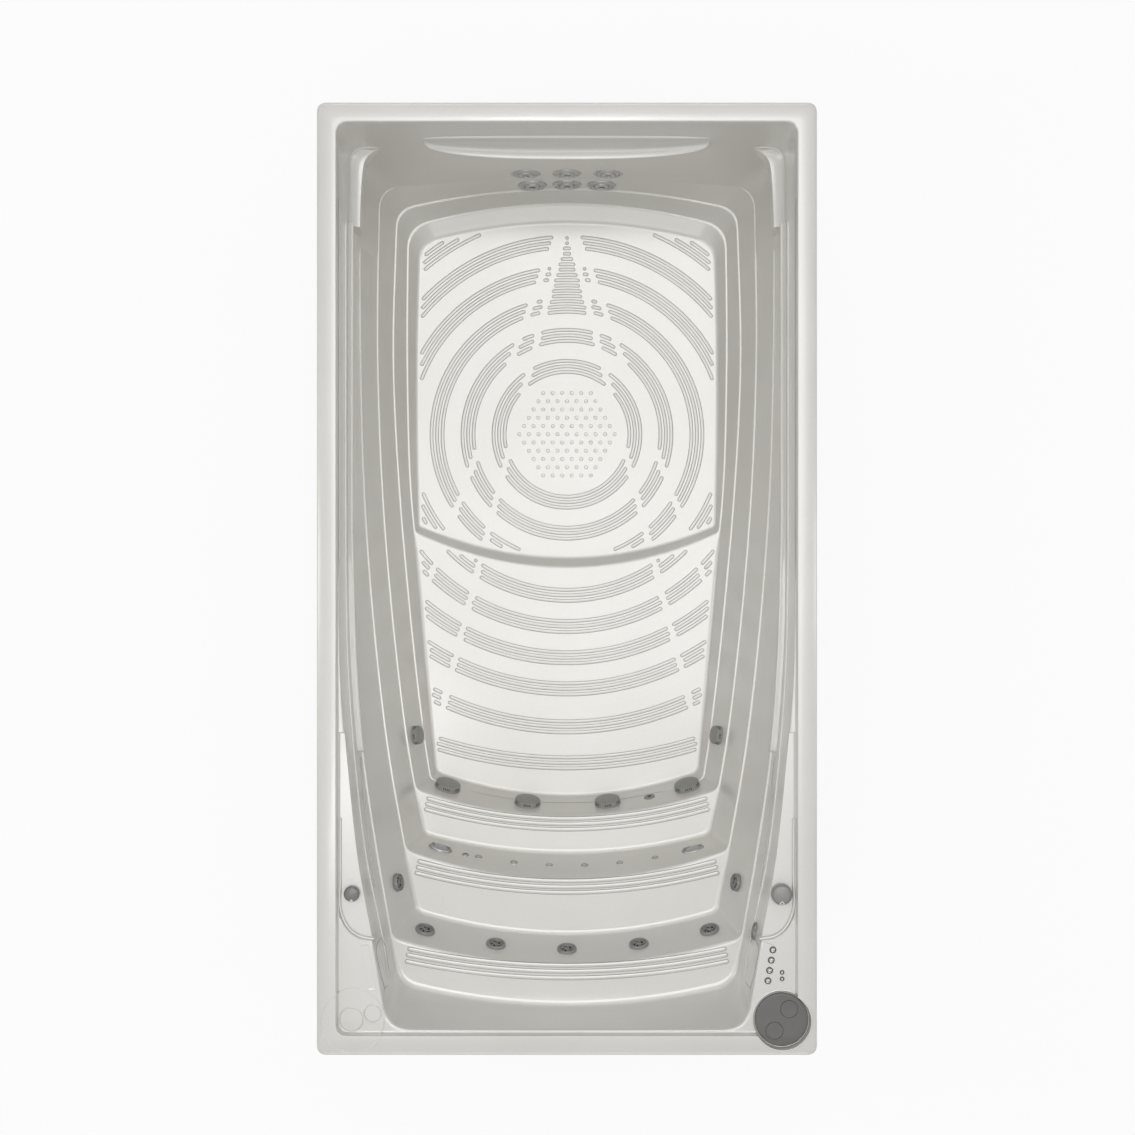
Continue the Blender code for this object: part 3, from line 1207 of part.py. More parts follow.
def make_pump(name, side, parts, scratch, shades):
    """One pump: its casing on a foot, and the impeller on its shaft."""
    seat = pump_seat(side)
    bore = SHAFT_RADIUS + SHAFT_CLEAR
    hub = WET_RADIUS - WET_WALL
    back = -WET_LENGTH - MOTOR_LENGTH
    shaft_end = -WET_LENGTH - MOTOR_CAP
    casing = [(INLET_RADIUS, INLET_LENGTH), (INLET_RADIUS + WET_WALL, INLET_LENGTH),
              (INLET_RADIUS + WET_WALL, 0.0), (WET_RADIUS, 0.0), (WET_RADIUS, -WET_LENGTH),
              (MOTOR_RADIUS, -WET_LENGTH - WET_WALL), (MOTOR_RADIUS, back + MOTOR_CAP),
              (MOTOR_RADIUS - MOTOR_CAP / 2, back), (0.0, back), (0.0, shaft_end),
              (bore, shaft_end), (bore, WET_WALL - WET_LENGTH), (hub, WET_WALL - WET_LENGTH),
              (hub, -WET_WALL), (INLET_RADIUS, -WET_WALL)]
    body = place(turned("casing", casing, SWIM_SIDES, scratch, closed=True), seat)
    middle = side * (PUMP_FRONT + WET_LENGTH / 2)
    low = PUMP_AXIS_Z + hub + WET_WALL / 2
    tower = [(0.0, OUTLET_TOP), (OUTLET_RADIUS, OUTLET_TOP), (OUTLET_RADIUS, low), (0.0, low)]
    outlet = place(turned("outlet", tower, JET_SIDES, scratch),
                   Matrix.Translation((middle, PUMP_ALONG, 0.0)))
    centre = side * (PUMP_FRONT + WET_LENGTH + MOTOR_LENGTH / 2)
    half_x, half_y = MOTOR_FOOT_LENGTH / 2, MOTOR_FOOT_WIDTH / 2
    foot = box("foot", (centre - half_x, PUMP_ALONG - half_y, PAN_TOP),
               (centre + half_x, PUMP_ALONG + half_y, PUMP_AXIS_Z - MOTOR_RADIUS / 2), scratch)
    united(f"{name}_casing", [body, outlet, foot], parts, scratch, shades["motor"])
    face = -WET_WALL - IMPELLER_THICK / 2
    rear = face - IMPELLER_THICK
    end = shaft_end + GAP
    wheel = [(0.0, face), (IMPELLER_RADIUS / 2, face), (IMPELLER_RADIUS, face - WET_WALL),
             (IMPELLER_RADIUS, rear), (SHAFT_RADIUS, rear), (SHAFT_RADIUS, end), (0.0, end)]
    place(turned(f"{name}_impeller", wheel, JET_SIDES, parts, shades["brass"]), seat)


def make_control_box(parts, material):
    """The control box, standing on the base pan."""
    half_x, half_y = BOX_SIZE[0] / 2, BOX_SIZE[1] / 2
    body = box("control_box", (BOX_X - half_x, BOX_Y - half_y, PAN_TOP),
               (BOX_X + half_x, BOX_Y + half_y, PAN_TOP + BOX_SIZE[2]), parts, material)
    soften(body, FLANGE_PROUD)


def make_shades():
    """The materials, by a short name."""
    return {
        "acrylic": finish("pearl_acrylic", (0.78, 0.78, 0.76), 0.25),
        "grey": finish("grey_plastic", (0.30, 0.30, 0.29), 0.4),
        "dark": finish("dark_plastic", (0.16, 0.16, 0.16), 0.45),
        "silver": finish("silver_plastic", (0.52, 0.52, 0.51), 0.3, 0.3),
        "chrome": finish("chrome", (0.75, 0.75, 0.76), 0.1, 1.0),
        "lens": finish("lens", (0.85, 0.87, 0.9), 0.1),
        "white": finish("filter_fleece", (0.85, 0.85, 0.83), 0.8),
        "cabinet": finish("cabinet_board", (0.20, 0.20, 0.20), 0.6),
        "timber": finish("timber", (0.62, 0.47, 0.30), 0.8),
        "pan": finish("base_plastic", (0.08, 0.08, 0.08), 0.6),
        "motor": finish("motor_paint", (0.10, 0.11, 0.12), 0.5),
        "brass": finish("impeller_brass", (0.60, 0.48, 0.25), 0.35, 1.0),
        "pipe": finish("pipe_plastic", (0.85, 0.85, 0.83), 0.5),
    }


def main():
    clear_scene()
    parts = new_collection("swim_spa")
    cutters = new_collection("shell_cutters")
    scratch = new_collection("forms")
    shades = make_shades()
    bm = bmesh.new()
    bm.from_mesh(pool_skin())
    tree = BVHTree.FromBMesh(bm)
    bm.free()
    seats = {
        "swim": swim_jet_seats(tree),
        "therapy": therapy_jet_seats(tree),
        "suction": suction_seats(tree),
        "light": riser_seats(tree, (-LIGHT_SPREAD, LIGHT_SPREAD), LIGHT_Z, LIGHT_STEM),
        "injector": riser_seats(tree, INJECTOR_SPREADS, LIGHT_Z, INJECTOR_STEM),
        "sensor": riser_seats(tree, (SENSOR_SPREAD,), LIGHT_Z, INJECTOR_STEM)[0],
        "return": riser_seats(tree, (RETURN_SPREAD,), SUCTION_Z, INJECTOR_STEM)[0],
    }
    swim_jets(parts, scratch, seats, shades)
    therapy_jets(parts, scratch, seats, shades)
    suctions(parts, scratch, seats, shades)
    step_lights(parts, seats, shades)
    air_injectors(parts, scratch, seats, shades)
    deck_sets(parts, scratch, shades)
    buttons(parts, scratch, shades)
    filter_set(parts, scratch, shades)
    make_pan(parts, scratch, shades["pan"])
    make_panels(parts, scratch, shades)
    make_frame(parts, scratch, shades["timber"])
    make_bearers(parts, scratch, shades["timber"])
    make_pump("left_pump", -1, parts, scratch, shades)
    make_pump("right_pump", 1, parts, scratch, shades)
    make_control_box(parts, shades["dark"])
    make_shell(parts, cutters, seats, shades["acrylic"])
    hide_helpers(cutters)
    hide_helpers(scratch)


main()
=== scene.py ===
"""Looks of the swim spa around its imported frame: moulded shell, fittings and cabinet."""

import math

import bmesh
import bpy
import numpy as np
from mathutils import Matrix, Vector
from mathutils.bvhtree import BVHTree

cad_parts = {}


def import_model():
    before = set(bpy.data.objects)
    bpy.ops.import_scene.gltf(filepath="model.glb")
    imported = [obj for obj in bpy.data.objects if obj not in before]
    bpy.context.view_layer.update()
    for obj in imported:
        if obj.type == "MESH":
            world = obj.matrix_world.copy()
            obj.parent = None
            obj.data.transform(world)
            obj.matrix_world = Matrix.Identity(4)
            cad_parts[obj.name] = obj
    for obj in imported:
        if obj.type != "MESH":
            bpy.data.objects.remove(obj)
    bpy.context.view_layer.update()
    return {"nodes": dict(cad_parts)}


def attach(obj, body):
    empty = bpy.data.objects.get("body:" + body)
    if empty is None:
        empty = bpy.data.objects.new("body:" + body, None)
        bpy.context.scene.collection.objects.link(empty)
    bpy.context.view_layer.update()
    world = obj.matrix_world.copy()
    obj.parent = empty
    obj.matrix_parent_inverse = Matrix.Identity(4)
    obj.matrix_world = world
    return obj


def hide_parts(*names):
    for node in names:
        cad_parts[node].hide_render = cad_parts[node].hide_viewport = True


# ---------------------------------------------------------------- sizes of the shell, in metres
WIDTH = 2.39
LENGTH = 4.55
HEIGHT = 1.30
WALL = 0.010
LIP_DROP = 0.085
RIM_FLAT = 0.0935
RIM_SLANT = 0.0045
RIM_FALL = 0.008
RIM_EDGE = 0.014
RIM_STEPS = 6
DECK_Z = 1.25
RIM_CORNER = 0.048
DECK_CORNER = 0.057
SHOULDER_Z = 1.04
BENCH_Z = 0.91
UPPER_TREAD_Z = 0.635
LOWER_TREAD_Z = 0.38
SIDE_LEDGE_Z = 0.215
FLOOR_Z = 0.125
PIT_Z = 0.065
LEDGE = 0.010
SHOULDER_LEDGE = 0.006
CREASE = 0.003
HAIR = 0.0006

# How finely the loops are drawn.
ARC_POINTS = 20
CORNER_POINTS = 10
SIDE_POINTS = 60
FOLD_STEPS = 5
WALL_STEPS = 3
SUPPORT = 0.0012
SMALLEST_FOLD = 0.0004
FOLD_SHARE = 0.40
ROUND_SIDES = 144

# Faces that look up or down and are larger than this stay flat in their shading.
FLAT_TURN = 0.9995
FLAT_AREA = 0.000004
SHARP_ANGLE = math.radians(32)

# Half widths of the side lines, as shares of the half width, at places along the length.
ALONG_SHARES = (-0.475, -0.4, -0.3, -0.2, -0.1, 0.0, 0.1, 0.25, 0.44)
POOL_EDGE_SHARES = (0.721, 0.768, 0.838, 0.880, 0.9115, 0.9160, 0.9165, 0.9165, 0.9165)
SHOULDER_SHARES = (0.708, 0.751, 0.828, 0.873, 0.902, 0.911, 0.912, 0.912, 0.912)
BENCH_SHARES = (0.685, 0.731, 0.797, 0.853, 0.888, 0.903, 0.908, 0.908, 0.908)
UPPER_TREAD_SHARES = (0.581, 0.633, 0.704, 0.770, 0.817, 0.852, 0.877, 0.8925, 0.8955)
LOWER_TREAD_SHARES = (0.490, 0.552, 0.633, 0.705, 0.754, 0.792, 0.820, 0.841, 0.835)
SIDE_LEDGE_SHARES = (0.440, 0.510, 0.577, 0.640, 0.687, 0.725, 0.757, 0.785, 0.768)
FLOOR_SHARES = (0.500, 0.540, 0.575, 0.611, 0.644, 0.676, 0.712, 0.729, 0.724)
PIT_SHARES = (0.500, 0.540, 0.575, 0.611, 0.644, 0.672, 0.684, 0.689, 0.671)

# The ends of the loops: middle, corner and corner radius, as shares of the length and the width.
POOL_EDGE_ENDS = ((-0.4760, -0.4755, 0.050), (0.4779, 0.4777, 0.028))
SHOULDER_ENDS = ((-0.4725, -0.4600, 0.045), (0.4735, 0.4725, 0.034))
BENCH_FOOT_ENDS = ((-0.4690, -0.4440, 0.040), (0.4712, 0.4690, 0.040))
BENCH_NOSE_ENDS = ((-0.4226, -0.3940, 0.012), (0.4712, 0.4690, 0.040))
UPPER_FOOT_ENDS = ((-0.4035, -0.3775, 0.016), (0.4672, 0.4620, 0.044))
UPPER_NOSE_ENDS = ((-0.3402, -0.3070, 0.012), (0.4672, 0.4620, 0.044))
LOWER_FOOT_ENDS = ((-0.3210, -0.2985, 0.016), (0.4640, 0.4530, 0.050))
LOWER_NOSE_ENDS = ((-0.2767, -0.2455, 0.012), (0.4640, 0.4530, 0.050))
SIDE_LEDGE_ENDS = ((-0.2664, -0.2380, 0.010), (0.4600, 0.4350, 0.040))
FLOOR_ENDS = ((-0.2607, -0.2320, 0.016), (0.4460, 0.4180, 0.048))
BAND_ENDS = ((0.0125, 0.0545, 0.008), (0.4460, 0.4180, 0.048))
PIT_ENDS = ((0.0229, 0.0610, 0.008), (0.4260, 0.4010, 0.045))

# ---------------------------------------------------------------- camera and light
CAMERA_PLACE = (0.0029, 0.0536, 9.8)
CAMERA_LENS = 56.55
SENSOR = 36.0
WORLD_LEVEL = 0.275
SUN_LEVEL = 0.60
SUN_ANGLE = 28.0
FLOOR_SIZE = 30.0
FLOOR_GLOW = 1.04
FLOOR_SHARE = 0.86
LAMP_AIM = (0.0, 0.0, 0.6)
WHITE = (1.0, 1.0, 1.0, 1.0)
# Name, place, size and watts of each lamp.
LAMPS = (
    ("north_glint", (0.0, 4.45, 9.8), (1.7, 0.8), 22.0),
    ("west_glint", (-2.25, -2.1, 9.8), (0.6, 2.2), 32.0),
    ("west_lamp", (-6.5, 0.0, 5.5), (1.2, 6.0), 82.0),
    ("east_lamp", (6.5, 0.0, 5.5), (1.2, 6.0), 56.0),
    ("north_lamp", (0.0, 7.5, 5.5), (5.0, 1.2), 54.0),
    ("south_lamp", (0.0, -7.5, 5.5), (5.0, 1.2), 50.0),
)


# ---------------------------------------------------------------- meshes
def turns(whole, steps):
    """Angles from 0 to the whole angle, in even steps."""
    return [whole * step / steps for step in range(steps + 1)]


def bent(first, corner, last, t):
    """A point of the curve that rounds a corner."""
    return first * (1 - t) ** 2 + corner * 2 * t * (1 - t) + last * t ** 2


def mesh_object(name, bm, material, smooth_angle=35.0):
    """An object with the faces of bm, shaded smooth up to an angle."""
    mesh = bpy.data.meshes.new(name)
    bmesh.ops.recalc_face_normals(bm, faces=bm.faces)
    bm.to_mesh(mesh)
    bm.free()
    mesh.shade_smooth()
    mesh.set_sharp_from_angle(angle=math.radians(smooth_angle))
    obj = bpy.data.objects.new(name, mesh)
    bpy.context.scene.collection.objects.link(obj)
    mesh.materials.append(material)
    return obj


def dress(obj, body, slot, *nodes):
    """The object rides on a body and stands for these nodes; slot is not used."""
    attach(obj, body)
    if nodes:
        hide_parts(*nodes)
    return obj


def turned_into(bm, profile, sides, matrix, start=0.0, sweep=2 * math.pi, closed=False):
    """Adds a turned shape about Z: profile is (radius, height) from the top middle outwards."""
    count = sides if sweep == 2 * math.pi else sides + 1
    rings = []
    for radius, height in profile:
        angles = [start + sweep * i / sides for i in range(count if radius else 1)]
        rings.append([bm.verts.new((radius * math.cos(a), radius * math.sin(a), height))
                      for a in angles])
    bmesh.ops.transform(bm, matrix=matrix, verts=[v for ring in rings for v in ring])
    if closed:
        rings.append(rings[0])
    for a, b in zip(rings, rings[1:]):
        for i in range(sides):
            j = (i + 1) % count
            if len(a) == 1:
                bm.faces.new((a[0], b[i], b[j]))
            elif len(b) == 1:
                bm.faces.new((a[i], a[j], b[0]))
            else:
                bm.faces.new((a[i], b[i], b[j], a[j]))


def turned_piece(name, profile, sides, place, look, body, slot, *nodes):
    """A turned shape as a piece of its own; look is its material and its smooth angle."""
    bm = bmesh.new()
    turned_into(bm, profile, sides, place)
    return dress(mesh_object(name, bm, *look), body, slot, *nodes)


def arc_profile(points, radius, steps=4):
    """The profile with its corners rounded by up to this radius."""
    result = [points[0]]
    for before, here, after in zip(points, points[1:], points[2:]):
        here = Vector(here)
        to_before = Vector(before) - here
        to_after = Vector(after) - here
        reach = min(radius, to_before.length * 0.45, to_after.length * 0.45)
        first = here + to_before.normalized() * reach
        last = here + to_after.normalized() * reach
        result += [tuple(bent(first, here, last, t)) for t in turns(1, steps)]
    result.append(points[-1])
    return result


def box_into(bm, low, high, bevel, segments, matrix):
    """Adds a box with soft edges."""
    low, high = Vector(low), Vector(high)
    made = bmesh.ops.create_cube(bm, size=1.0)["verts"]
    bmesh.ops.scale(bm, vec=high - low, verts=made)
    bmesh.ops.translate(bm, vec=(low + high) / 2, verts=made)
    edges = list({e for v in made for e in v.link_edges})
    made = bmesh.ops.bevel(bm, geom=edges, offset=bevel, segments=segments,
                           affect="EDGES", profile=0.6)["verts"]
    bmesh.ops.transform(bm, matrix=matrix, verts=made)


# ---------------------------------------------------------------- loops of the shell
def read_line(y, shares):
    """The half width of a side line at y, on a smooth curve through its shares."""
    along = np.array(ALONG_SHARES) * LENGTH
    half = np.array(shares) * WIDTH / 2
    slope = np.gradient(half, along)
    i = int(np.clip(np.searchsorted(along, y) - 1, 0, len(along) - 2))
    span = along[i + 1] - along[i]
    t = (y - along[i]) / span
    rise = half[i + 1] - half[i]
    start = slope[i] * span
    end = slope[i + 1] * span
    return half[i] + t * (start + t * (3 * rise - 2 * start - end + t * (start + end - 2 * rise)))


def end_points(half_at, end, inward):
    """Points of one end of a loop: its arc, then the rounded corner up to the side."""
    middle, corner_y, radius = end
    corner = np.array((half_at(corner_y), corner_y))
    reach = corner[0] - radius
    points = []
    for step in range(ARC_POINTS + 1):
        x = reach * step / ARC_POINTS
        points.append(np.array((x, middle + (corner_y - middle) * (x / corner[0]) ** 2)))
    first = points[-1]
    side_y = corner_y + inward * radius
    last = np.array((half_at(side_y), side_y))
    points += [bent(first, corner, last, t) for t in turns(1, CORNER_POINTS)[1:]]
    return points


def plan_loop(half_at, south, north):
    """A closed loop in plan, symmetric in X, from its side line and its two ends."""
    first = end_points(half_at, south, 1.0)
    last = end_points(half_at, north, -1.0)
    low, high = first[-1][1], last[-1][1]
    side = []
    for step in range(1, SIDE_POINTS):
        y = low + (high - low) * step / SIDE_POINTS
        side.append(np.array((half_at(y), y)))
    half = first + side + last[::-1]
    other = [np.array((-x, y)) for x, y in half[-2:0:-1]]
    return np.array(half + other)


def line_loop(shares, ends, inset=0.0, south_inset=0.0, north_inset=0.0):
    """A loop of the pool from its tables of shares, drawn inwards by the insets."""
    south, north = ends
    south = (south[0] * LENGTH + south_inset, south[1] * LENGTH + south_inset, south[2] * WIDTH)
    north = (north[0] * LENGTH - north_inset, north[1] * LENGTH - north_inset, north[2] * WIDTH)
    return plan_loop(lambda y: read_line(y, shares) - inset, south, north)


def frame_loop(inset, corner):
    """A rectangular loop with rounded corners, inset from the overall outline."""
    half_x, half_y = WIDTH / 2 - inset, LENGTH / 2 - inset
    return plan_loop(lambda y: half_x, (-half_y, -half_y, corner), (half_y, half_y, corner))


def outward(loop):
    """The outward normal in plan at each point of a loop."""
    before = np.roll(loop, 1, axis=0)
    after = np.roll(loop, -1, axis=0)
    along = after - before
    along /= np.linalg.norm(along, axis=1)[:, None]
    return np.stack((along[:, 1], -along[:, 0]), axis=1)


def moved(loop, distance):
    """The loop moved outwards by a distance, one number or one for each point."""
    return loop + outward(loop) * np.broadcast_to(distance, len(loop))[:, None]


def gap_between(loop, other):
    """The distance from each point of a loop to another loop."""
    start = other
    span = np.roll(other, -1, axis=0) - other
    found = []
    for point in loop:
        t = ((point - start) * span).sum(1) / (span ** 2).sum(1)
        near = start + span * np.clip(t, 0, 1)[:, None]
        found.append(np.linalg.norm(near - point, axis=1).min())
    return np.array(found)


def fold_sizes(loop, other, largest):
    """The fold radius at each point of a loop, as much as the flat beside it leaves room for."""
    sizes = np.minimum(largest, gap_between(loop, other) * FOLD_SHARE - SUPPORT)
    sizes = np.maximum(sizes, SMALLEST_FOLD)
    smooth = sizes
    for _ in range(4):
        smooth = (np.roll(smooth, 1) + smooth * 2 + np.roll(smooth, -1)) / 4
    return np.minimum(smooth, np.maximum(sizes, SMALLEST_FOLD))


def at_height(loop, z):
    """A loop as points in space."""
    return np.column_stack((loop, np.full(len(loop), z)))


def fold(start, corner, end):
    """Rows that round a corner."""
    return [bent(start, corner, end, t) for t in turns(1, FOLD_STEPS)]


def wall_rows(upper, upper_z, lower, lower_z, nose, foot):
    """The rows of a wall from the flat above it, round its nose, down, and round its foot."""
    top = at_height(upper, upper_z)
    low = at_height(lower, lower_z)
    down = low - top
    length = np.linalg.norm(down, axis=1)
    down /= length[:, None]
    nose_down = np.minimum(nose, length * 0.45)[:, None]
    foot_down = np.minimum(foot, length * 0.45)[:, None]
    rows = [at_height(moved(upper, nose + SUPPORT), upper_z)]
    rows += fold(at_height(moved(upper, nose), upper_z), top, top + down * nose_down)
    first, last = rows[-1], low - down * foot_down
    for step in range(1, WALL_STEPS):
        rows.append(first + (last - first) * step / WALL_STEPS)
    rows += fold(last, low, at_height(moved(lower, -foot), lower_z))
    rows.append(at_height(moved(lower, -foot - SUPPORT), lower_z))
    return rows


def pool_walls():
    """The walls from the deck down: upper loop and height, lower loop and height, nose, foot."""
    shoulder = line_loop(SHOULDER_SHARES, SHOULDER_ENDS)
    shoulder_nose = line_loop(SHOULDER_SHARES, SHOULDER_ENDS, SHOULDER_LEDGE, HAIR, CREASE)
    return [
        (line_loop(POOL_EDGE_SHARES, POOL_EDGE_ENDS), DECK_Z, shoulder, SHOULDER_Z, 0.010, 0.004),
        (shoulder_nose, SHOULDER_Z, line_loop(BENCH_SHARES, BENCH_FOOT_ENDS), BENCH_Z,
         0.006, 0.028),
        (line_loop(BENCH_SHARES, BENCH_NOSE_ENDS, LEDGE, 0.0, CREASE), BENCH_Z,
         line_loop(UPPER_TREAD_SHARES, UPPER_FOOT_ENDS), UPPER_TREAD_Z, 0.016, 0.024),
        (line_loop(UPPER_TREAD_SHARES, UPPER_NOSE_ENDS, LEDGE, 0.0, CREASE), UPPER_TREAD_Z,
         line_loop(LOWER_TREAD_SHARES, LOWER_FOOT_ENDS), LOWER_TREAD_Z, 0.016, 0.024),
        (line_loop(LOWER_TREAD_SHARES, LOWER_NOSE_ENDS, LEDGE, 0.0, CREASE), LOWER_TREAD_Z,
         line_loop(SIDE_LEDGE_SHARES, SIDE_LEDGE_ENDS), SIDE_LEDGE_Z, 0.016, 0.006),
        (line_loop(SIDE_LEDGE_SHARES, SIDE_LEDGE_ENDS, LEDGE, HAIR, LEDGE), SIDE_LEDGE_Z,
         line_loop(FLOOR_SHARES, FLOOR_ENDS), FLOOR_Z, 0.006, 0.018),
        (line_loop(FLOOR_SHARES, BAND_ENDS, LEDGE, 0.0, LEDGE), FLOOR_Z,
         line_loop(PIT_SHARES, PIT_ENDS), PIT_Z, 0.012, 0.014),
    ]


def ring_of(bm, row):
    """Vertices at the points of a row."""
    return [bm.verts.new(point) for point in row]


def add_flat(bm, rings):
    """Fill the flat between two closed rings of points, or inside one."""
    edges = []
    for ring in rings:
        for i, vert in enumerate(ring):
            pair = (vert, ring[(i + 1) % len(ring)])
            edges.append(bm.edges.get(pair) or bm.edges.new(pair))
    bmesh.ops.triangle_fill(bm, use_beauty=True, edges=edges)


def add_band(bm, upper, lower):
    """Quads between two rings with the same number of points."""
    for i in range(len(upper)):
        j = (i + 1) % len(upper)
        bm.faces.new((upper[i], upper[j], lower[j], lower[i]))


def add_bands(bm, rings):
    """Bands between each ring and the next."""
    for a, b in zip(rings, rings[1:]):
        add_band(bm, a, b)


def add_rows(bm, rows):
    """Bands between rows; returns the first and the last ring."""
    rings = [ring_of(bm, row) for row in rows]
    add_bands(bm, rings)
    return rings[0], rings[-1]


def rim_rows():
    """The rows of the lip and the rim, from the hem to the deck."""
    base = RIM_FLAT + RIM_SLANT
    hem_z = HEIGHT - LIP_DROP
    edge_z = HEIGHT - RIM_FALL
    outer = frame_loop(0.0, RIM_CORNER)
    rows = [at_height(frame_loop(WALL, RIM_CORNER), hem_z), at_height(outer, hem_z)]
    rows += fold(at_height(outer, edge_z - RIM_EDGE), at_height(outer, edge_z),
                 at_height(frame_loop(RIM_EDGE, RIM_CORNER), edge_z + RIM_FALL * 0.25))
    for step in range(1, RIM_STEPS):
        share = step / RIM_STEPS
        inset = RIM_EDGE + (RIM_FLAT - RIM_EDGE - 0.006) * share
        z = HEIGHT - RIM_FALL * 0.75 * (1 - share) ** 2
        rows.append(at_height(frame_loop(inset, RIM_CORNER), z))
    nose = frame_loop(RIM_FLAT, DECK_CORNER)
    foot = frame_loop(base, DECK_CORNER)
    pool_edge = line_loop(POOL_EDGE_SHARES, POOL_EDGE_ENDS)
    slant = wall_rows(nose, HEIGHT, foot, DECK_Z, np.full(len(nose), 0.0035),
                      fold_sizes(foot, pool_edge, 0.005))
    return rows, slant


def make_shell(pearl, cutters):
    """The pool: rim, walls with their folds, flats, and a plain underside to close it."""
    bm = bmesh.new()
    lip, slant = rim_rows()
    walls = pool_walls()
    first, last = add_rows(bm, lip + slant[1:])
    above = frame_loop(RIM_FLAT + RIM_SLANT, DECK_CORNER)
    for i, (upper, upper_z, lower, lower_z, nose, foot) in enumerate(walls):
        noses = fold_sizes(upper, above, nose)
        feet = np.full(len(lower), foot)
        if i + 1 < len(walls):
            feet = fold_sizes(lower, walls[i + 1][0], foot)
        top, low = add_rows(bm, wall_rows(upper, upper_z, lower, lower_z, noses, feet))
        add_flat(bm, (last, top))
        last = low
        above = lower
    add_flat(bm, (last,))
    dry = [at_height(frame_loop(WALL, RIM_CORNER), HEIGHT - 2 * WALL),
           at_height(frame_loop(RIM_FLAT - WALL, DECK_CORNER), HEIGHT - 2 * WALL),
           at_height(frame_loop(RIM_FLAT + RIM_SLANT - WALL, DECK_CORNER), DECK_Z - WALL)]
    for upper, upper_z, lower, lower_z, nose, foot in walls:
        dry.append(at_height(moved(upper, WALL), upper_z - WALL))
        dry.append(at_height(moved(lower, WALL), lower_z - WALL))
    rings = [ring_of(bm, row) for row in dry]
    add_band(bm, first, rings[0])
    for i in range(1, len(rings)):
        if i % 2:
            add_flat(bm, (rings[i - 1], rings[i]))
        else:
            add_band(bm, rings[i - 1], rings[i])
    add_flat(bm, (rings[-1],))
    shell = mesh_object("pool_shell", bm, pearl)
    carve(shell, cutters)
    return shell


def carve(obj, cutters):
    """Cuts each closed cutter from the object, and keeps the result as its mesh."""
    for cutter in cutters:
        modifier = obj.modifiers.new("cut", "BOOLEAN")
        modifier.object = cutter
        modifier.solver = "EXACT"
    bpy.context.view_layer.update()
    graph = bpy.context.evaluated_depsgraph_get()
    mesh = bpy.data.meshes.new_from_object(obj.evaluated_get(graph))
    obj.modifiers.clear()
    old = obj.data
    obj.data = mesh
    bpy.data.meshes.remove(old)
    mesh.shade_smooth()
    mesh.set_sharp_from_angle(angle=SHARP_ANGLE)
    for polygon in mesh.polygons:
        if abs(polygon.normal.z) > FLAT_TURN and polygon.area > FLAT_AREA:
            polygon.use_smooth = False
    for cutter in cutters:
        bpy.data.objects.remove(cutter)


# ---------------------------------------------------------------- cutters in the deck
TRAY_DROP = 0.0088
TRAY_SLOPE = 0.0105
TRAY_FOLD = 0.0035
TRAY_REACH = 1.0935
TRAY_NORTH = -0.74
TRAY_LINE_NORTH = -1.15
TRAY_LINE_SOUTH = -1.50
TRAY_ARC = ((-1.092, -1.528), (-1.090, -1.575), (-1.080, -1.620), (-1.060, -1.662),
            (-1.030, -1.697), (-0.990, -1.720), (-0.925, -1.728))
TRAY_INNER = -0.80
TRAY_INNER_SOUTH = -1.72
FILTER_PLACE = (1.029, -2.112)
WELL_RADIUS = 0.1355
WELL_DEPTH = 0.34


def tray_cutter(side):
    """A pocket with sloping sides in the deck, with one round end."""
    outer = -TRAY_REACH + 0.003
    outline = [(max(x, outer), y) for x, y in TRAY_ARC]
    outline += [(TRAY_INNER, TRAY_INNER_SOUTH), (TRAY_INNER, TRAY_NORTH), (outer, TRAY_NORTH)]
    loop = np.array(outline)
    if side > 0:
        loop = (loop * np.array((-1.0, 1.0)))[::-1]
    low_z = DECK_Z - TRAY_DROP
    lead = at_height(moved(loop, TRAY_SLOPE + 0.0035), DECK_Z + 0.0006)
    rows = [at_height(moved(loop, TRAY_SLOPE + 0.020), DECK_Z + 0.006)]
    rows += fold(lead, at_height(moved(loop, TRAY_SLOPE), DECK_Z),
                 at_height(moved(loop, TRAY_SLOPE - 0.0025), DECK_Z - 0.0030))
    rows += fold(at_height(moved(loop, TRAY_FOLD * 0.5), low_z + TRAY_FOLD * 0.9),
                 at_height(loop, low_z), at_height(moved(loop, -TRAY_FOLD), low_z))
    for row in rows:
        row[:, 0] = np.clip(row[:, 0], -TRAY_REACH, TRAY_REACH)
    bm = bmesh.new()
    first, last = add_rows(bm, rows)
    add_flat(bm, (first,))
    add_flat(bm, (last,))
    return mesh_object("tray_cutter", bm, None)


def well_cutter():
    """The round well of the filter, through the deck and into the rim."""
    bm = bmesh.new()
    place = Matrix.Translation((*FILTER_PLACE, 0.0))
    turned_into(bm, [(0.0, HEIGHT + WALL), (WELL_RADIUS, HEIGHT + WALL),
                     (WELL_RADIUS, DECK_Z - WELL_DEPTH), (0.0, DECK_Z - WELL_DEPTH)], 96, place)
    return mesh_object("well_cutter", bm, None)


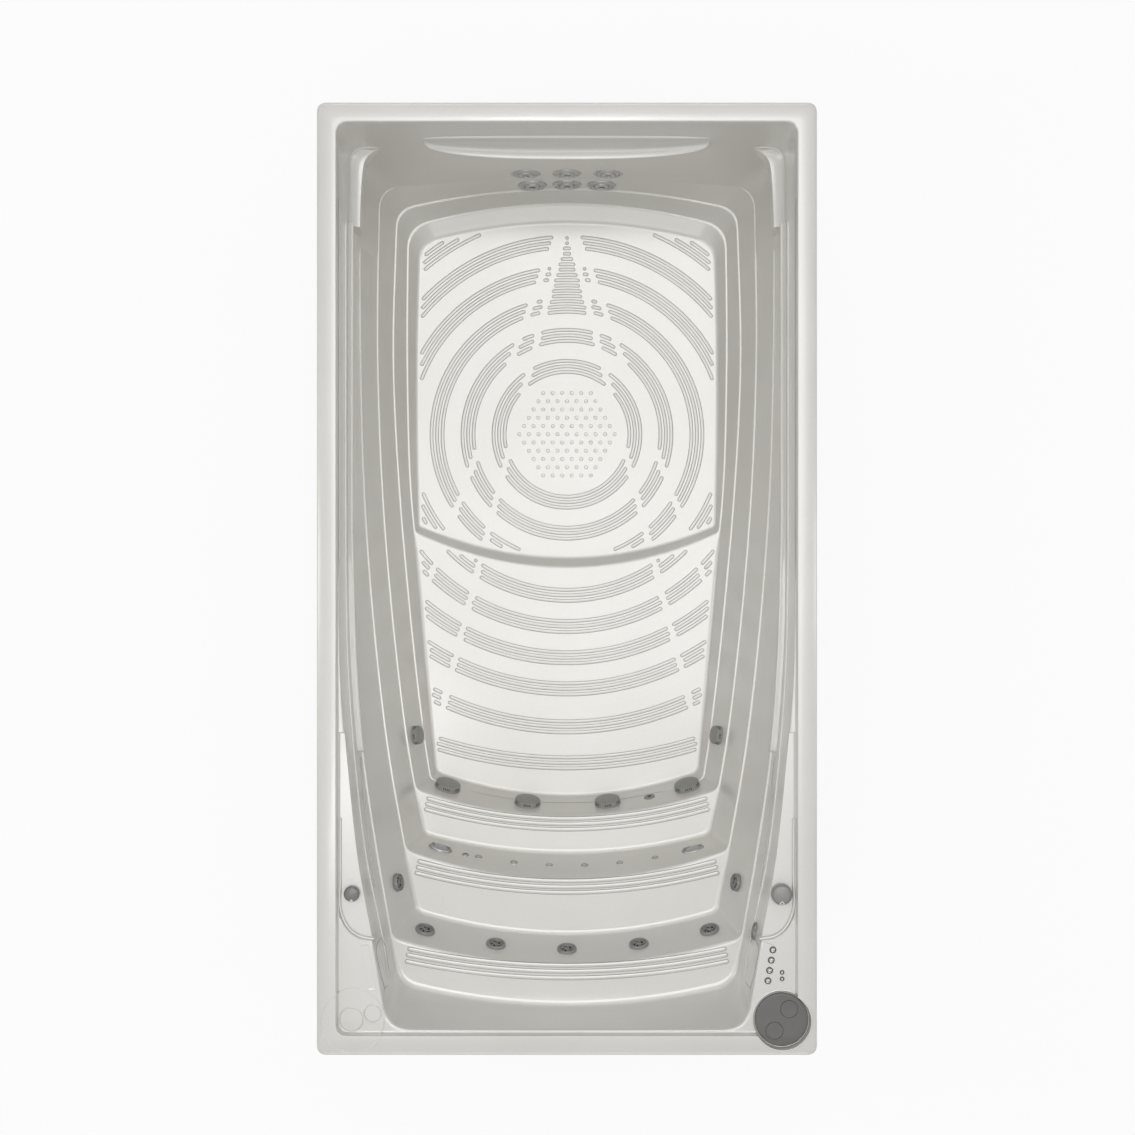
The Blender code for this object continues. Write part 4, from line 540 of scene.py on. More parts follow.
# ---------------------------------------------------------------- ribs of the floors and treads
RING_MIDDLE = (0.0, 0.781)
RING_FIRST = 0.371
RING_GROUP = 0.1693
RING_PITCH = 0.030
RING_GROUPS = 6
FAR_GROUPS = (1.3864, 1.5925)
LAST_GROUP = ((0.0, 1.369), 2.376)
LADDER_FIRST = 0.669
LADDER_PITCH = 0.0288
LADDER_BARS = 15
RAYS = ((0.2544, 1.942), (0.3678, 2.014))
RAY_CLEAR = 0.021
RIB_WIDTH = 0.0200
TREAD_RIB_WIDTH = 0.0230
FLOOR_NORTH = 0.4
RIB_SLOPE = 0.0029
RIB_HEIGHT = 0.0042
RIB_SINK = 0.0006
EDGE_CLEAR = 0.030
TREAD_RIBS = (
    (LOWER_TREAD_Z, ((0.731, -1.273), (0.739, -1.3015), (0.744, -1.330)), 0.1057),
    (UPPER_TREAD_Z, ((0.758, -1.558), (0.7654, -1.5887), (0.7726, -1.6175)), 0.1007),
    (BENCH_Z, ((0.7843, -1.9303), (0.7923, -1.9602), (0.7973, -1.9931)), 0.0823),
)
STUD_RADIUS = 0.011
STUD_PITCH = 0.052
STUD_REACH = 0.27


def sheet(bm, rows):
    """Quads between rows of vertices."""
    for a, b in zip(rows, rows[1:]):
        for i in range(len(a) - 1):
            bm.faces.new((a[i], a[i + 1], b[i + 1], b[i]))


def bar_into(bm, path, z, levels, matrix=None):
    """A raised bar with round ends along a path; levels are its half widths and heights."""
    path = np.array(path)
    if len(path) < 2:
        path = np.array((path[0], path[0] + (1e-4, 0.0)))
    along = np.gradient(path, axis=0)
    along /= np.linalg.norm(along, axis=1)[:, None]
    angles = [math.radians(a) for a in (90, 60, 30)]
    stations = [(path[0], along[0], -a) for a in angles]
    stations += [(p, a, 0.0) for p, a in zip(path, along)]
    stations += [(path[-1], along[-1], a) for a in reversed(angles)]
    rows = []
    for spot, heading, angle in stations:
        across = np.array((-heading[1], heading[0])) * max(math.cos(angle), 0.02)
        ahead = heading * math.sin(angle)
        row = []
        for side, steps in ((-1, levels), (1, levels[::-1])):
            for reach, height in steps:
                x, y = spot + (ahead + across * side) * reach
                row.append(bm.verts.new((x, y, z + height)))
        rows.append(row)
    sheet(bm, rows)
    if matrix is not None:
        bmesh.ops.transform(bm, matrix=matrix, verts=[v for row in rows for v in row])
    return rows


def rib_into(bm, path, z, width=RIB_WIDTH):
    """A rib of the floor or a tread, with its sides in the darker pearl copy that paints their
    shade.
    """
    half = width / 2
    rows = bar_into(bm, path, z, ((half, -RIB_SINK), (half - RIB_SLOPE * 0.45, RIB_HEIGHT * 0.75),
                                  (half - RIB_SLOPE, RIB_HEIGHT)))
    tops = {v for row in rows for v in row[2:4]}
    # The side faces take the second material, the darker pearl copy: painted shade.
    for face in {face for row in rows for v in row for face in v.link_faces}:
        face.material_index = 0 if all(v in tops for v in face.verts) else 1


def inside(point, loop):
    """Whether a point lies inside a closed loop."""
    x, y = point
    ahead = np.roll(loop, -1, axis=0)
    crosses = (loop[:, 1] > y) != (ahead[:, 1] > y)
    with np.errstate(divide="ignore", invalid="ignore"):
        at = loop[:, 0] + (y - loop[:, 1]) / (ahead[:, 1] - loop[:, 1]) * (ahead[:, 0] - loop[:, 0])
    return bool(np.count_nonzero(crosses & (x < at)) % 2)


def off_rays(x, y):
    """Whether a point keeps clear of the four rays that part the rings."""
    for slope, tip in RAYS:
        if y > tip:
            continue
        for side in (-1, 1):
            if abs(side * x - slope * (tip - y)) / math.hypot(1, slope) < RAY_CLEAR:
                return False
    return True


def between_rays(x, y):
    """Whether a point lies in the field of the short bars."""
    slope, tip = RAYS[0]
    return abs(x) < slope * (tip - y) and y > RING_MIDDLE[1]


def ring_paths(middle, radius, allowed):
    """The stretches of a circle that are allowed, as lists of points."""
    count = max(int(2 * math.pi * radius / 0.012), 24)
    points = []
    for i in range(count):
        angle = math.pi / 2 + 2 * math.pi * i / count
        points.append((middle[0] + radius * math.cos(angle), middle[1] + radius * math.sin(angle)))
    keep = [allowed(x, y) for x, y in points]
    if all(keep):
        return [points + points[:1]]
    first = keep.index(False)
    runs, run = [], []
    for i in range(first, first + count + 1):
        if keep[i % count] and i < first + count:
            run.append(points[i % count])
        elif run:
            runs.append(run)
            run = []
    return runs


def make_ribs(pearl, painted_shade_pearl):
    """The raised ribs: rings on both floors, and three arcs on each tread."""
    walls = pool_walls()
    pit_loop = moved(walls[-1][2], -EDGE_CLEAR)
    floor_loop = moved(walls[-2][2], -EDGE_CLEAR)
    band_loop = moved(walls[-1][0], EDGE_CLEAR)

    def on_pit(x, y):
        return inside((x, y), pit_loop) and off_rays(x, y)

    def beside(x, y):
        return on_pit(x, y) and not between_rays(x, y)

    def on_ladder(x, y):
        return on_pit(x, y) and between_rays(x, y)

    def on_floor(x, y):
        on_loop = y < FLOOR_NORTH and inside((x, y), floor_loop) and not inside((x, y), band_loop)
        return on_loop and off_rays(x, y)

    groups = [(RING_MIDDLE, RING_FIRST + RING_GROUP * group, on_pit if group < 2 else beside, PIT_Z)
              for group in range(RING_GROUPS + 1)]
    far = [RING_FIRST + RING_GROUP * group for group in range(2, RING_GROUPS)] + list(FAR_GROUPS)
    groups += [(RING_MIDDLE, radius, on_floor, FLOOR_Z) for radius in far]
    groups.append((*LAST_GROUP, on_floor, FLOOR_Z))
    bm = bmesh.new()
    for middle, radius, allowed, z in groups:
        for ring in (-1, 0, 1):
            for path in ring_paths(middle, radius + RING_PITCH * ring, allowed):
                rib_into(bm, path, z)
    for bar in range(LADDER_BARS):
        for path in ring_paths(RING_MIDDLE, LADDER_FIRST + LADDER_PITCH * bar, on_ladder):
            rib_into(bm, path, PIT_Z)
    for z, rows, sag in TREAD_RIBS:
        for reach, low in rows:
            path = [(reach * t, low + sag * t * t) for t in np.linspace(-1, 1, 81)]
            rib_into(bm, path, z, TREAD_RIB_WIDTH)
    ribs = mesh_object("floor_ribs", bm, pearl, 60)
    # The second material is the darker pearl copy that paints shade on the rib sides.
    ribs.data.materials.append(painted_shade_pearl)
    return ribs


def make_studs(pearl):
    """Small round studs in the middle of the rings."""
    bm = bmesh.new()
    rows = int(STUD_REACH / STUD_PITCH) + 2
    profile = arc_profile([(0.0, RIB_HEIGHT), (STUD_RADIUS - RIB_SLOPE, RIB_HEIGHT),
                           (STUD_RADIUS, -RIB_SINK)], 0.002)
    for row in range(-rows, rows + 1):
        for column in range(-rows, rows + 1):
            x = (column + (row % 2) / 2) * STUD_PITCH
            y = row * STUD_PITCH * math.sqrt(0.75)
            if math.hypot(x, y) > STUD_REACH:
                continue
            place = Matrix.Translation((RING_MIDDLE[0] + x, RING_MIDDLE[1] + y, PIT_Z))
            turned_into(bm, profile, 20, place)
    return mesh_object("floor_studs", bm, pearl, 60)


# ---------------------------------------------------------------- shapes moulded on the walls
SIGHT_MIDDLE = (566.9, 567.5)
SIGHT_LENS = 1783.0
SCOOP_HALF = 0.70
SCOOP_WALL = 2.1560
SCOOP_DEPTH = 0.0580
SCOOP_TOP = 1.100
SCOOP_LIP = 0.950
SCOOP_POWER = 2.4
SHELF_Z = 0.930
SHELF_DROP = 0.260
SHELF_RISE = 0.026
SHELF_FALL = 0.0024
SHELF_INNER = ((-0.925, 2.137), (-0.940, 2.133), (-0.9795, 2.111), (-1.004, 2.081), (-1.014, 2.031),
               (-1.018, 1.981), (-1.022, 1.931), (-1.0255, 1.840), (-1.028, 1.748))
SHELF_OUTER = ((-0.925, 2.175), (-0.940, 2.180), (-0.995, 2.175), (-1.050, 2.140), (-1.090, 2.070),
               (-1.100, 2.000), (-1.102, 1.940), (-1.102, 1.845), (-1.102, 1.748))
RAIL_NORTH = 1.760
RAIL_SOUTH = -0.845
RAIL_FOOT_Z = 0.985
RAIL_NOSE_Z = 0.974
RAIL_END = 0.016
RAIL_BEND = 0.0085
RAIL_FOOT = ((1.0845, 1.80), (1.0870, 0.70), (1.0872, 0.288), (1.0853, -0.140), (1.0794, -0.354),
             (1.0665, -0.568), (1.0492, -0.782), (1.0408, -0.851), (1.0380, -0.90))
RAIL_NOSE = ((1.0556, 1.80), (1.0575, 0.70), (1.0590, 0.289), (1.0501, -0.1405), (1.0432, -0.355),
             (1.0303, -0.569), (1.0130, -0.784), (1.0050, -0.850), (1.0020, -0.90))
LINER_SOUTH = 1.700
LINER_BLEND = 0.110
LINER_FRONT = 0.0012
BACK_NORTH = -1.960
BACK_BLEND = 0.100
BACK_SHARE = 0.62

# Thin raised lines: outlines as the camera sees them, and places on the deck.
EYE_OUTLINES = (
    ((381, 938), (376, 944), (375, 949), (377, 960), (380, 974), (384, 988)),
    ((382, 938), (384, 942), (386, 955), (388, 968), (390, 978), (388, 985), (384, 989)),
)
ARM_LINE = ((359.5, 757), (360.6, 765), (363.2, 790), (367.0, 828), (371.0, 866), (373.5, 887))
CIRCLES = (((-1.024, -2.114), 0.149), ((-1.034, -2.114), 0.0575), ((-0.931, -2.085), 0.042))
STEP_LINE = ((0.9403, -1.742), (0.966, -1.750), (0.993, -1.761))
BADGE = ((-0.992, -1.7517), (-0.955, -1.7485), (-0.9150, -1.9700), (-0.949, -1.977))
BADGE_CORNER = 0.008
BEAD_WIDTH = 0.0046
BEAD_HEIGHT = 0.0016
EYE_BEAD = (0.0065, 0.0032)
ARM_BEAD = (0.0110, 0.0050)
TRAY_BEAD = (0.0150, 0.0062)
CIRCLE_BEAD = (0.0075, 0.0022)
UP = (0.0, 0.0, 1.0)


def resampled(points, count, passes):
    """Even points along a path, smoothed a number of times."""
    points = np.array(points, dtype=float)
    lengths = np.linalg.norm(np.diff(points, axis=0), axis=1)
    along = np.concatenate(((0.0,), np.cumsum(lengths)))
    places = np.linspace(0.0, along[-1], count)
    fine = np.stack([np.interp(places, along, axis) for axis in points.T], axis=1)
    for _ in range(passes):
        fine[1:-1] = fine[1:-1] * 0.5 + (fine[:-2] + fine[2:]) * 0.25
    return fine


def smooth_path(points, count):
    """A finer path through the points."""
    return resampled(points, count, 6)


def smooth_column(points):
    """Even points on a smooth curve down a wall, with its first bend kept tight."""
    points = np.array(points, dtype=float)
    top = fold(points[0], points[1], points[2])
    return np.concatenate((top, resampled(points[2:], 22, 8)[1:]))


def grid_into(bm, rows):
    """Adds a sheet through rows of points."""
    verts = [ring_of(bm, row) for row in rows]
    sheet(bm, verts)
    return verts


def mirrored_piece(names, bm, side, pearl, angle):
    """The piece of one side of the pool, from the shape of the west side."""
    if side > 0:
        bmesh.ops.scale(bm, vec=(-1.0, 1.0, 1.0), verts=bm.verts)
    return mesh_object(names[side > 0], bm, pearl, angle)


def tree_of(obj):
    """A search tree over the faces of an object."""
    mesh = obj.data
    return BVHTree.FromPolygons([v.co for v in mesh.vertices],
                                [tuple(p.vertices) for p in mesh.polygons])


def wall_at(tree, start, heading, other):
    """Where a level ray meets the wall, or another point when it misses."""
    spot = tree.ray_cast(Vector(start), Vector(heading))[0]
    return np.array(other if spot is None else spot)


def scoop(pearl, tree):
    """The long hollow shelf over the swim jets: a bright upper bead, a cove and a bright lip."""
    rows = []
    for u in np.linspace(-1.0, 1.0, 97):
        share = max(1.0 - abs(u) ** SCOOP_POWER, 0.0) ** 0.5
        x = SCOOP_HALF * u
        top = SCOOP_TOP - 0.020 * (1.0 - share)
        wall, low_wall = (wall_at(tree, (x, 1.7, z), (0.0, 1.0, 0.0), (x, SCOOP_WALL, z))[1]
                          for z in (top, SCOOP_LIP))
        depth = max(SCOOP_DEPTH * share, 0.0006) + wall - low_wall
        fall = (SCOOP_TOP - SCOOP_LIP) * (0.25 + 0.75 * share)
        bead = 0.0030 + 0.0045 * share
        # Each row is made of distances in front of the wall and of levels from the top.
        row = [(-0.006, bead * 2.2), (bead * 0.2, bead * 1.3)]
        row += [(bead * (0.5 + 0.9 * math.sin(a)), bead * math.cos(a)) for a in turns(math.pi, 6)]
        row += [(bead * 0.4 + (depth - bead * 0.4) * (1.0 - math.cos(a)) ** 1.1,
                 -bead * 1.3 - (fall - bead * 1.3) * math.sin(a) ** 0.9)
                for a in turns(math.pi / 2, 14)]
        lip = min(0.0060, depth * 0.5)
        row += [(depth + lip * math.sin(a), -fall - lip * (1.0 - math.cos(a)))
                for a in turns(math.pi / 2, 7)[1:]]
        row += [(depth + lip * 0.7, -fall - lip - 0.008), (depth * 0.75, -fall - 0.050),
                (depth * 0.2, -fall - 0.110), (-0.016, -fall - 0.160)]
        rows.append([(x, wall - front, top + level) for front, level in row])
    bm = bmesh.new()
    grid_into(bm, rows)
    return mesh_object("north_scoop", bm, pearl, 50)


def corner_shelf(side, pearl, tree):
    """A dished shelf in a north corner, ending in a notch at its south end."""
    rows = []
    brow = SHELF_Z + SHELF_RISE
    dish = SHELF_Z + SHELF_FALL
    for a, b in zip(smooth_path(SHELF_INNER, 60), smooth_path(SHELF_OUTER, 60)):
        length = np.linalg.norm(b - a)
        across = (b - a) / length
        hit = wall_at(tree, (*a, brow), (*across, 0.0), (*b, SHELF_Z))[:2]
        wide = min(np.linalg.norm(hit - a), length + 0.02)
        bead = min(0.0050, wide * 0.2)
        # Each row is made of distances from the inner edge and of heights.
        row = [(wide + 0.004, brow + bead * 3.2), (wide - bead * 0.2, brow + bead * 2.4)]
        row += [(wide - bead * (0.4 + 0.9 * math.sin(t)), brow + bead * (1.1 + math.cos(t)))
                for t in turns(math.pi, 4)]
        row += [(wide * share, dish + (SHELF_RISE - SHELF_FALL) * lift)
                for share, lift in ((0.78, 0.62), (0.60, 0.36), (0.42, 0.17), (0.26, 0.07))]
        row += [(0.0042 * (1.0 - math.sin(t)), dish - 0.0042 * (1.0 - math.cos(t)))
                for t in turns(math.pi / 2, 6)]
        row += [(length * share, SHELF_Z - SHELF_DROP * drop)
                for share, drop in ((0.02, 0.25), (0.08, 0.5), (0.22, 0.75), (0.45, 1.0))]
        rows.append([(*(a + across * reach), z) for reach, z in row])
    bm = bmesh.new()
    verts = grid_into(bm, rows)
    bm.faces.new(verts[-1])
    return mirrored_piece(("shelf_west", "shelf_east"), bm, side, pearl, 40)


def side_rail(side, pearl):
    """The long ledge under a side of the rim: a cove, a bright nose and a round south end."""
    foot, nose = np.array(RAIL_FOOT), np.array(RAIL_NOSE)
    places = (*np.linspace(RAIL_NORTH, 0.3, 30), *np.linspace(0.27, RAIL_SOUTH, 45))
    stations = [(y, 0.0) for y in places]
    stations += [(RAIL_SOUTH - RAIL_END * math.sin(a), RAIL_END * (1.0 - math.cos(a)))
                 for a in turns(math.pi / 2, 8)[1:]]
    stations += [(RAIL_SOUTH - RAIL_END - 0.001, 0.05), (RAIL_SOUTH - RAIL_END - 0.002, 0.14)]
    rows = []
    for y, drop in stations:
        x1, x2 = (np.interp(-y, -line[:, 1], line[:, 0]) for line in (foot, nose))
        wide = x1 - x2
        row = [(x1 + 0.012, RAIL_FOOT_Z + 0.030), (x1 + 0.0015, RAIL_FOOT_Z + 0.012),
               (x1 - 0.0005, RAIL_FOOT_Z + 0.005), (x1 - wide * 0.08, RAIL_FOOT_Z + 0.001),
               (x1 - wide * 0.30, RAIL_FOOT_Z - 0.004), (x1 - wide * 0.50, RAIL_NOSE_Z + 0.0005),
               (x2 + 0.0120, RAIL_NOSE_Z + 0.0008)]
        row += [(x2 + RAIL_BEND * (1.0 - math.sin(a)),
                 RAIL_NOSE_Z + 0.0018 - RAIL_BEND * (1.0 - math.cos(a)))
                for a in turns(math.pi / 2, 7)]
        row += [(x2 + 0.0012, RAIL_NOSE_Z - 0.030), (x2 + 0.0045, RAIL_NOSE_Z - 0.080),
                (x2 + 0.011, RAIL_NOSE_Z - 0.150), (x2 + 0.026, RAIL_NOSE_Z - 0.230)]
        rows.append([(-x, y, z - drop) for x, z in row])
    bm = bmesh.new()
    grid_into(bm, rows)
    return mirrored_piece(("rail_west", "rail_east"), bm, side, pearl, 50)


def eased(value):
    """A value from 0 to 1 with a soft start and a soft end."""
    value = min(max(value, 0.0), 1.0)
    return value * value * (3.0 - 2.0 * value)


def sunk_column(points, share, back, down):
    """A smooth column that sinks behind the shell where its share is small."""
    hidden = np.array((*back, -down)) * (1.0 - eased(share))
    return smooth_column(points) + hidden


def sheet_piece(name, rows, pearl):
    """A sheet of the shell as a piece of its own."""
    bm = bmesh.new()
    grid_into(bm, rows)
    return mesh_object(name, bm, pearl, 60)


def upper_liner(pearl):
    """The plain wall round the north end, in one sweep from the rim to the lower ledge."""
    rim = frame_loop(RIM_FLAT - 0.004, DECK_CORNER)
    edge = frame_loop(RIM_FLAT - 0.0002, DECK_CORNER)
    pool_edge = moved(line_loop(POOL_EDGE_SHARES, POOL_EDGE_ENDS), -LINER_FRONT)
    shoulder = moved(line_loop(SHOULDER_SHARES, SHOULDER_ENDS, SHOULDER_LEDGE, CREASE, CREASE),
                     -LINER_FRONT)
    bench = moved(line_loop(BENCH_SHARES, BENCH_NOSE_ENDS, LEDGE, 0.0, CREASE), -LINER_FRONT)
    tread = moved(line_loop(UPPER_TREAD_SHARES, UPPER_NOSE_ENDS, LEDGE, 0.0, CREASE), -0.0015)
    low = moved(line_loop(LOWER_TREAD_SHARES, LOWER_FOOT_ENDS), -0.0050)
    out = outward(bench)
    rows = []
    for i in range(len(rim)):
        if rim[i][1] < LINER_SOUTH:
            continue
        points = [(*rim[i], HEIGHT + 0.0003), (*edge[i], HEIGHT + 0.0002),
                  (*(edge[i] + (pool_edge[i] - edge[i]) * 0.35), HEIGHT - 0.006),
                  (*pool_edge[i], DECK_Z), (*shoulder[i], SHOULDER_Z), (*bench[i], BENCH_Z),
                  (*tread[i], UPPER_TREAD_Z), (*low[i], LOWER_TREAD_Z + 0.020),
                  (*low[i], LOWER_TREAD_Z - 0.004)]
        share = (rim[i][1] - LINER_SOUTH) / LINER_BLEND
        rows.append(sunk_column(points, share, out[i] * 0.022, 0.004))
    return sheet_piece("north_wall", rows, pearl)


def south_liner(pearl):
    """The plain wall behind the seat, from the deck down to its cove."""
    loop = line_loop(POOL_EDGE_SHARES, POOL_EDGE_ENDS)
    deck, edge = moved(loop, 0.014), moved(loop, -LINER_FRONT)
    shoulder = line_loop(SHOULDER_SHARES, SHOULDER_ENDS, SHOULDER_LEDGE, HAIR, CREASE)
    shoulder = moved(shoulder, -0.0014)
    foot = line_loop(BENCH_SHARES, BENCH_FOOT_ENDS)
    out = outward(shoulder)
    half = len(loop) // 2
    rows = []
    for i in range(-half, half):
        if loop[i][1] >= BACK_NORTH:
            continue
        slope = shoulder[i] - edge[i]
        low = shoulder[i] + (foot[i] - shoulder[i]) * BACK_SHARE
        points = [(*deck[i], DECK_Z + 0.0004), (*edge[i], DECK_Z + 0.0003),
                  (*(edge[i] + slope * 0.06), DECK_Z - 0.013),
                  (*(edge[i] + slope * 0.5), (DECK_Z + SHOULDER_Z) / 2),
                  (*shoulder[i], SHOULDER_Z),
                  (*(low + out[i] * 0.003), SHOULDER_Z + (BENCH_Z - SHOULDER_Z) * BACK_SHARE)]
        share = (BACK_NORTH - loop[i][1]) / BACK_BLEND
        rows.append(sunk_column(points, share, out[i] * 0.012, 0.003))
    return sheet_piece("seat_back", rows, pearl)


def bead_into(bm, path, normals, width=BEAD_WIDTH, height=BEAD_HEIGHT, dark=True):
    """A thin raised line of half-round section on a surface, with one side in the darker pearl copy
    that paints its shade.
    """
    path, normals = np.array(path), np.array(normals)
    last = len(path) - 1
    rows = []
    for i, (spot, normal) in enumerate(zip(path, normals)):
        heading = path[min(i + 1, last)] - path[max(i - 1, 0)]
        heading /= max(np.linalg.norm(heading), 1e-9)
        across = np.cross(normal, heading) * width / 2
        rows.append([spot + across * math.cos(a) + normal * height * (math.sin(a) * 1.25 - 0.25)
                     for a in turns(math.pi, 6)])
    verts = grid_into(bm, rows)
    # One side of the line takes the second material, the darker pearl copy: painted shade.
    for row in verts if dark else ():
        for face in row[1].link_faces:
            face.material_index = 1


def sight_points(tree, outline, mirror):
    """Where the sight lines of an outline meet the shell, with the normals there."""
    spots, normals = [], []
    middle_x, middle_y = SIGHT_MIDDLE
    for across, down in outline:
        if mirror:
            across = 2 * middle_x - across
        way = Vector(((across - middle_x) / SIGHT_LENS, (middle_y - down) / SIGHT_LENS, -1.0))
        spot, normal, _, _ = tree.ray_cast(Vector(CAMERA_PLACE), way.normalized())
        if spot is None:
            continue
        if normal.dot(way) > 0:
            normal = -normal
        spots.append(tuple(spot))
        normals.append(tuple(normal))
    if not mirror:
        return spots[::-1], normals[::-1]
    return spots, normals


def moulded_lines(shell, pearl, painted_shade_pearl):
    """Thin raised lines: the eye-shaped fields of the seat walls and the circles on the deck."""
    tree = BVHTree.FromObject(shell, bpy.context.evaluated_depsgraph_get())
    bm = bmesh.new()
    edge = -TRAY_REACH + 0.0055
    arc = smooth_path(((edge, TRAY_LINE_NORTH), (edge, TRAY_LINE_SOUTH)) + TRAY_ARC, 60)
    low = DECK_Z - TRAY_DROP * 0.45
    for mirror in (False, True):
        for outline in EYE_OUTLINES:
            spots, normals = sight_points(tree, smooth_path(outline, 26), mirror)
            bead_into(bm, spots, normals, *EYE_BEAD)
        spots, normals = sight_points(tree, smooth_path(ARM_LINE, 26), mirror)
        bead_into(bm, spots, normals, *ARM_BEAD)
        line = [(-x, y, low) for x, y in arc] if mirror else [(x, y, low) for x, y in arc[::-1]]
        bead_into(bm, line, [UP] * len(line), *TRAY_BEAD)
    for (x, y), radius in CIRCLES:
        spots, normals = [], []
        for angle in turns(2 * math.pi, 96)[:-1]:
            start = (x + radius * math.cos(angle), y + radius * math.sin(angle), HEIGHT + 0.5)
            spot, normal, _, _ = tree.ray_cast(Vector(start), -Vector(UP))
            if spot is None or spot.z < DECK_Z - 0.02:
                continue
            spots.append(tuple(spot))
            normals.append(tuple(normal))
        bead_into(bm, spots, normals, *CIRCLE_BEAD, radius < 0.1)
    path = smooth_path(STEP_LINE, 20)
    bead_into(bm, [(x, y, DECK_Z) for x, y in path], [UP] * len(path))
    lines = mesh_object("moulded_lines", bm, pearl, 60)
    # The second material is the darker pearl copy that paints shade on one side of each line.
    lines.data.materials.append(painted_shade_pearl)
    return lines


def badge_plate(material):
    """The bare plate on the west deck."""
    corners = [Vector(c) for c in BADGE]
    outline = []
    for i, corner in enumerate(corners):
        before, after = corners[i - 1], corners[(i + 1) % 4]
        first = corner + (before - corner).normalized() * BADGE_CORNER
        last = corner + (after - corner).normalized() * BADGE_CORNER
        outline += [bent(first, corner, last, t) for t in turns(1, 5)]
    middle = sum(corners, Vector((0.0, 0.0))) / 4
    bm = bmesh.new()
    rings = []
    for share, lift in ((1.0, -0.0010), (1.0, 0.0009), (0.992, 0.0014), (0.965, 0.0014),
                        (0.955, 0.0008), (0.90, 0.0008)):
        row = [middle + (p - middle) * share for p in outline]
        rings.append(ring_of(bm, [(*p, DECK_Z + lift) for p in row]))
    add_bands(bm, rings)
    bm.faces.new(rings[-1])
    return mesh_object("bare_badge", bm, material, 40)


# ---------------------------------------------------------------- seats of the fittings
SWIM_SEATS = (
    ((-0.2151, 2.1173, 0.4798), (0.0157, -0.9986, 0.0504)),
    ((0.0000, 2.1192, 0.4798), (0.0030, -0.9990, 0.0453)),
    ((0.2150, 2.1174, 0.4798), (-0.0126, -0.9986, 0.0508)),
    ((-0.1851, 2.0983, 0.2796), (0.0264, -0.9933, 0.1121)),
    ((0.0000, 2.1025, 0.2797), (0.0083, -0.9958, 0.0917)),
    ((0.1851, 2.0988, 0.2796), (-0.0288, -0.9932, 0.1132)),
)
THERAPY_SEATS = (
    ((-0.7188, -1.7859, 0.7739), (0.2383, 0.9159, 0.3231)),
    ((-0.3603, -1.8582, 0.7739), (0.1057, 0.9464, 0.3052)),
    ((0.0000, -1.8835, 0.7739), (-0.0001, 0.9535, 0.3013)),
    ((0.3644, -1.8578, 0.7739), (-0.1051, 0.9465, 0.3051)),
    ((0.7228, -1.7847, 0.7739), (-0.2373, 0.9161, 0.3232)),
    ((-0.8576, -1.5405, 0.7738), (0.9311, 0.1570, 0.3293)),
    ((0.8591, -1.5406, 0.7738), (-0.9303, 0.1640, 0.3281)),
    ((0.9285, -1.7267, 1.0797), (-0.9778, 0.1871, 0.0942)),
)
SUCTION_SEATS = (
    ((-0.6410, -1.1271, 0.2490), (0.2725, 0.9189, 0.2854)),
    ((-0.2124, -1.2137, 0.2490), (0.1234, 0.9532, 0.2759)),
    ((0.2184, -1.2131, 0.2490), (-0.1212, 0.9532, 0.2771)),
    ((0.6460, -1.1260, 0.2490), (-0.2718, 0.9165, 0.2934)),
)
SIDE_SUCTION_SEATS = (
    ("side_suction_left", (-0.8119, -0.8405, 0.2987), (0.9148, 0.1292, 0.3826)),
    ("side_suction_right", (0.8095, -0.8405, 0.2987), (-0.9114, 0.1448, 0.3852)),
)
LIGHT_SEATS = (
    ("left", (-0.6590, -1.4121, 0.4991), (0.2788, 0.9232, 0.2644)),
    ("right", (0.6588, -1.4190, 0.4991), (-0.2206, 0.9387, 0.2648)),
)
INJECTOR_SEATS = (
    ((-0.4607, -1.4581, 0.4989), (0.2090, 0.9302, 0.3018)),
    ((-0.2764, -1.4862, 0.4989), (0.1266, 0.9393, 0.3189)),
    ((-0.0921, -1.5008, 0.4989), (0.0383, 0.9462, 0.3212)),
    ((0.0921, -1.5019, 0.4989), (-0.0332, 0.9456, 0.3235)),
    ((0.2763, -1.4892, 0.4989), (-0.0932, 0.9434, 0.3182)),
    ((0.4605, -1.4627, 0.4990), (-0.1550, 0.9417, 0.2986)),
)
SENSOR_SEAT = ((-0.5295, -1.4457, 0.4991), (0.1570, 0.9535, 0.2573))
RETURN_SEAT = ((0.4417, -1.1780, 0.2490), (-0.1987, 0.9380, 0.2840))
# Node, place, radius, height, mark (tip, base, width and dot as shares of the radius), finishes.
KNOBS = (
    ("diverter_knob", (1.029, -1.512), 0.0505, 0.028, (-0.94, -0.56, 0.36, 0.075), "knob",
     "knob_edge"),
    ("air_knob", (-1.031, -1.510), 0.038, 0.022, (-0.92, -0.60, 0.30, 0.0), "dark_knob",
     "dark_knob"),
)
BUTTONS = (
    ("control_button_1", (0.988, -1.780), 0.0165), ("control_button_2", (0.980, -1.8293), 0.0165),
    ("control_button_3", (0.972, -1.8786), 0.0165), ("control_button_4", (0.964, -1.9279), 0.0165),
    ("light_button_1", (1.032, -1.888), 0.011), ("light_button_2", (1.032, -1.919), 0.011),
)
SWIM_FLANGE = 0.078
SWIM_FACE = 0.058
JET_FLANGE = 0.050
SIDE_JET_FLANGE = 0.045
JET_FACE = 0.036
SUCTION_RADIUS = 0.0695
SIDE_SUCTION_RADIUS = 0.0505
CAP_FOOT = 0.0046
CAP_TOP = 0.0094
CAP_SHARE = 0.70
LIGHT_RADIUS = 0.0625
LIGHT_SQUASH = 0.62
LIGHT_LENS = 0.046

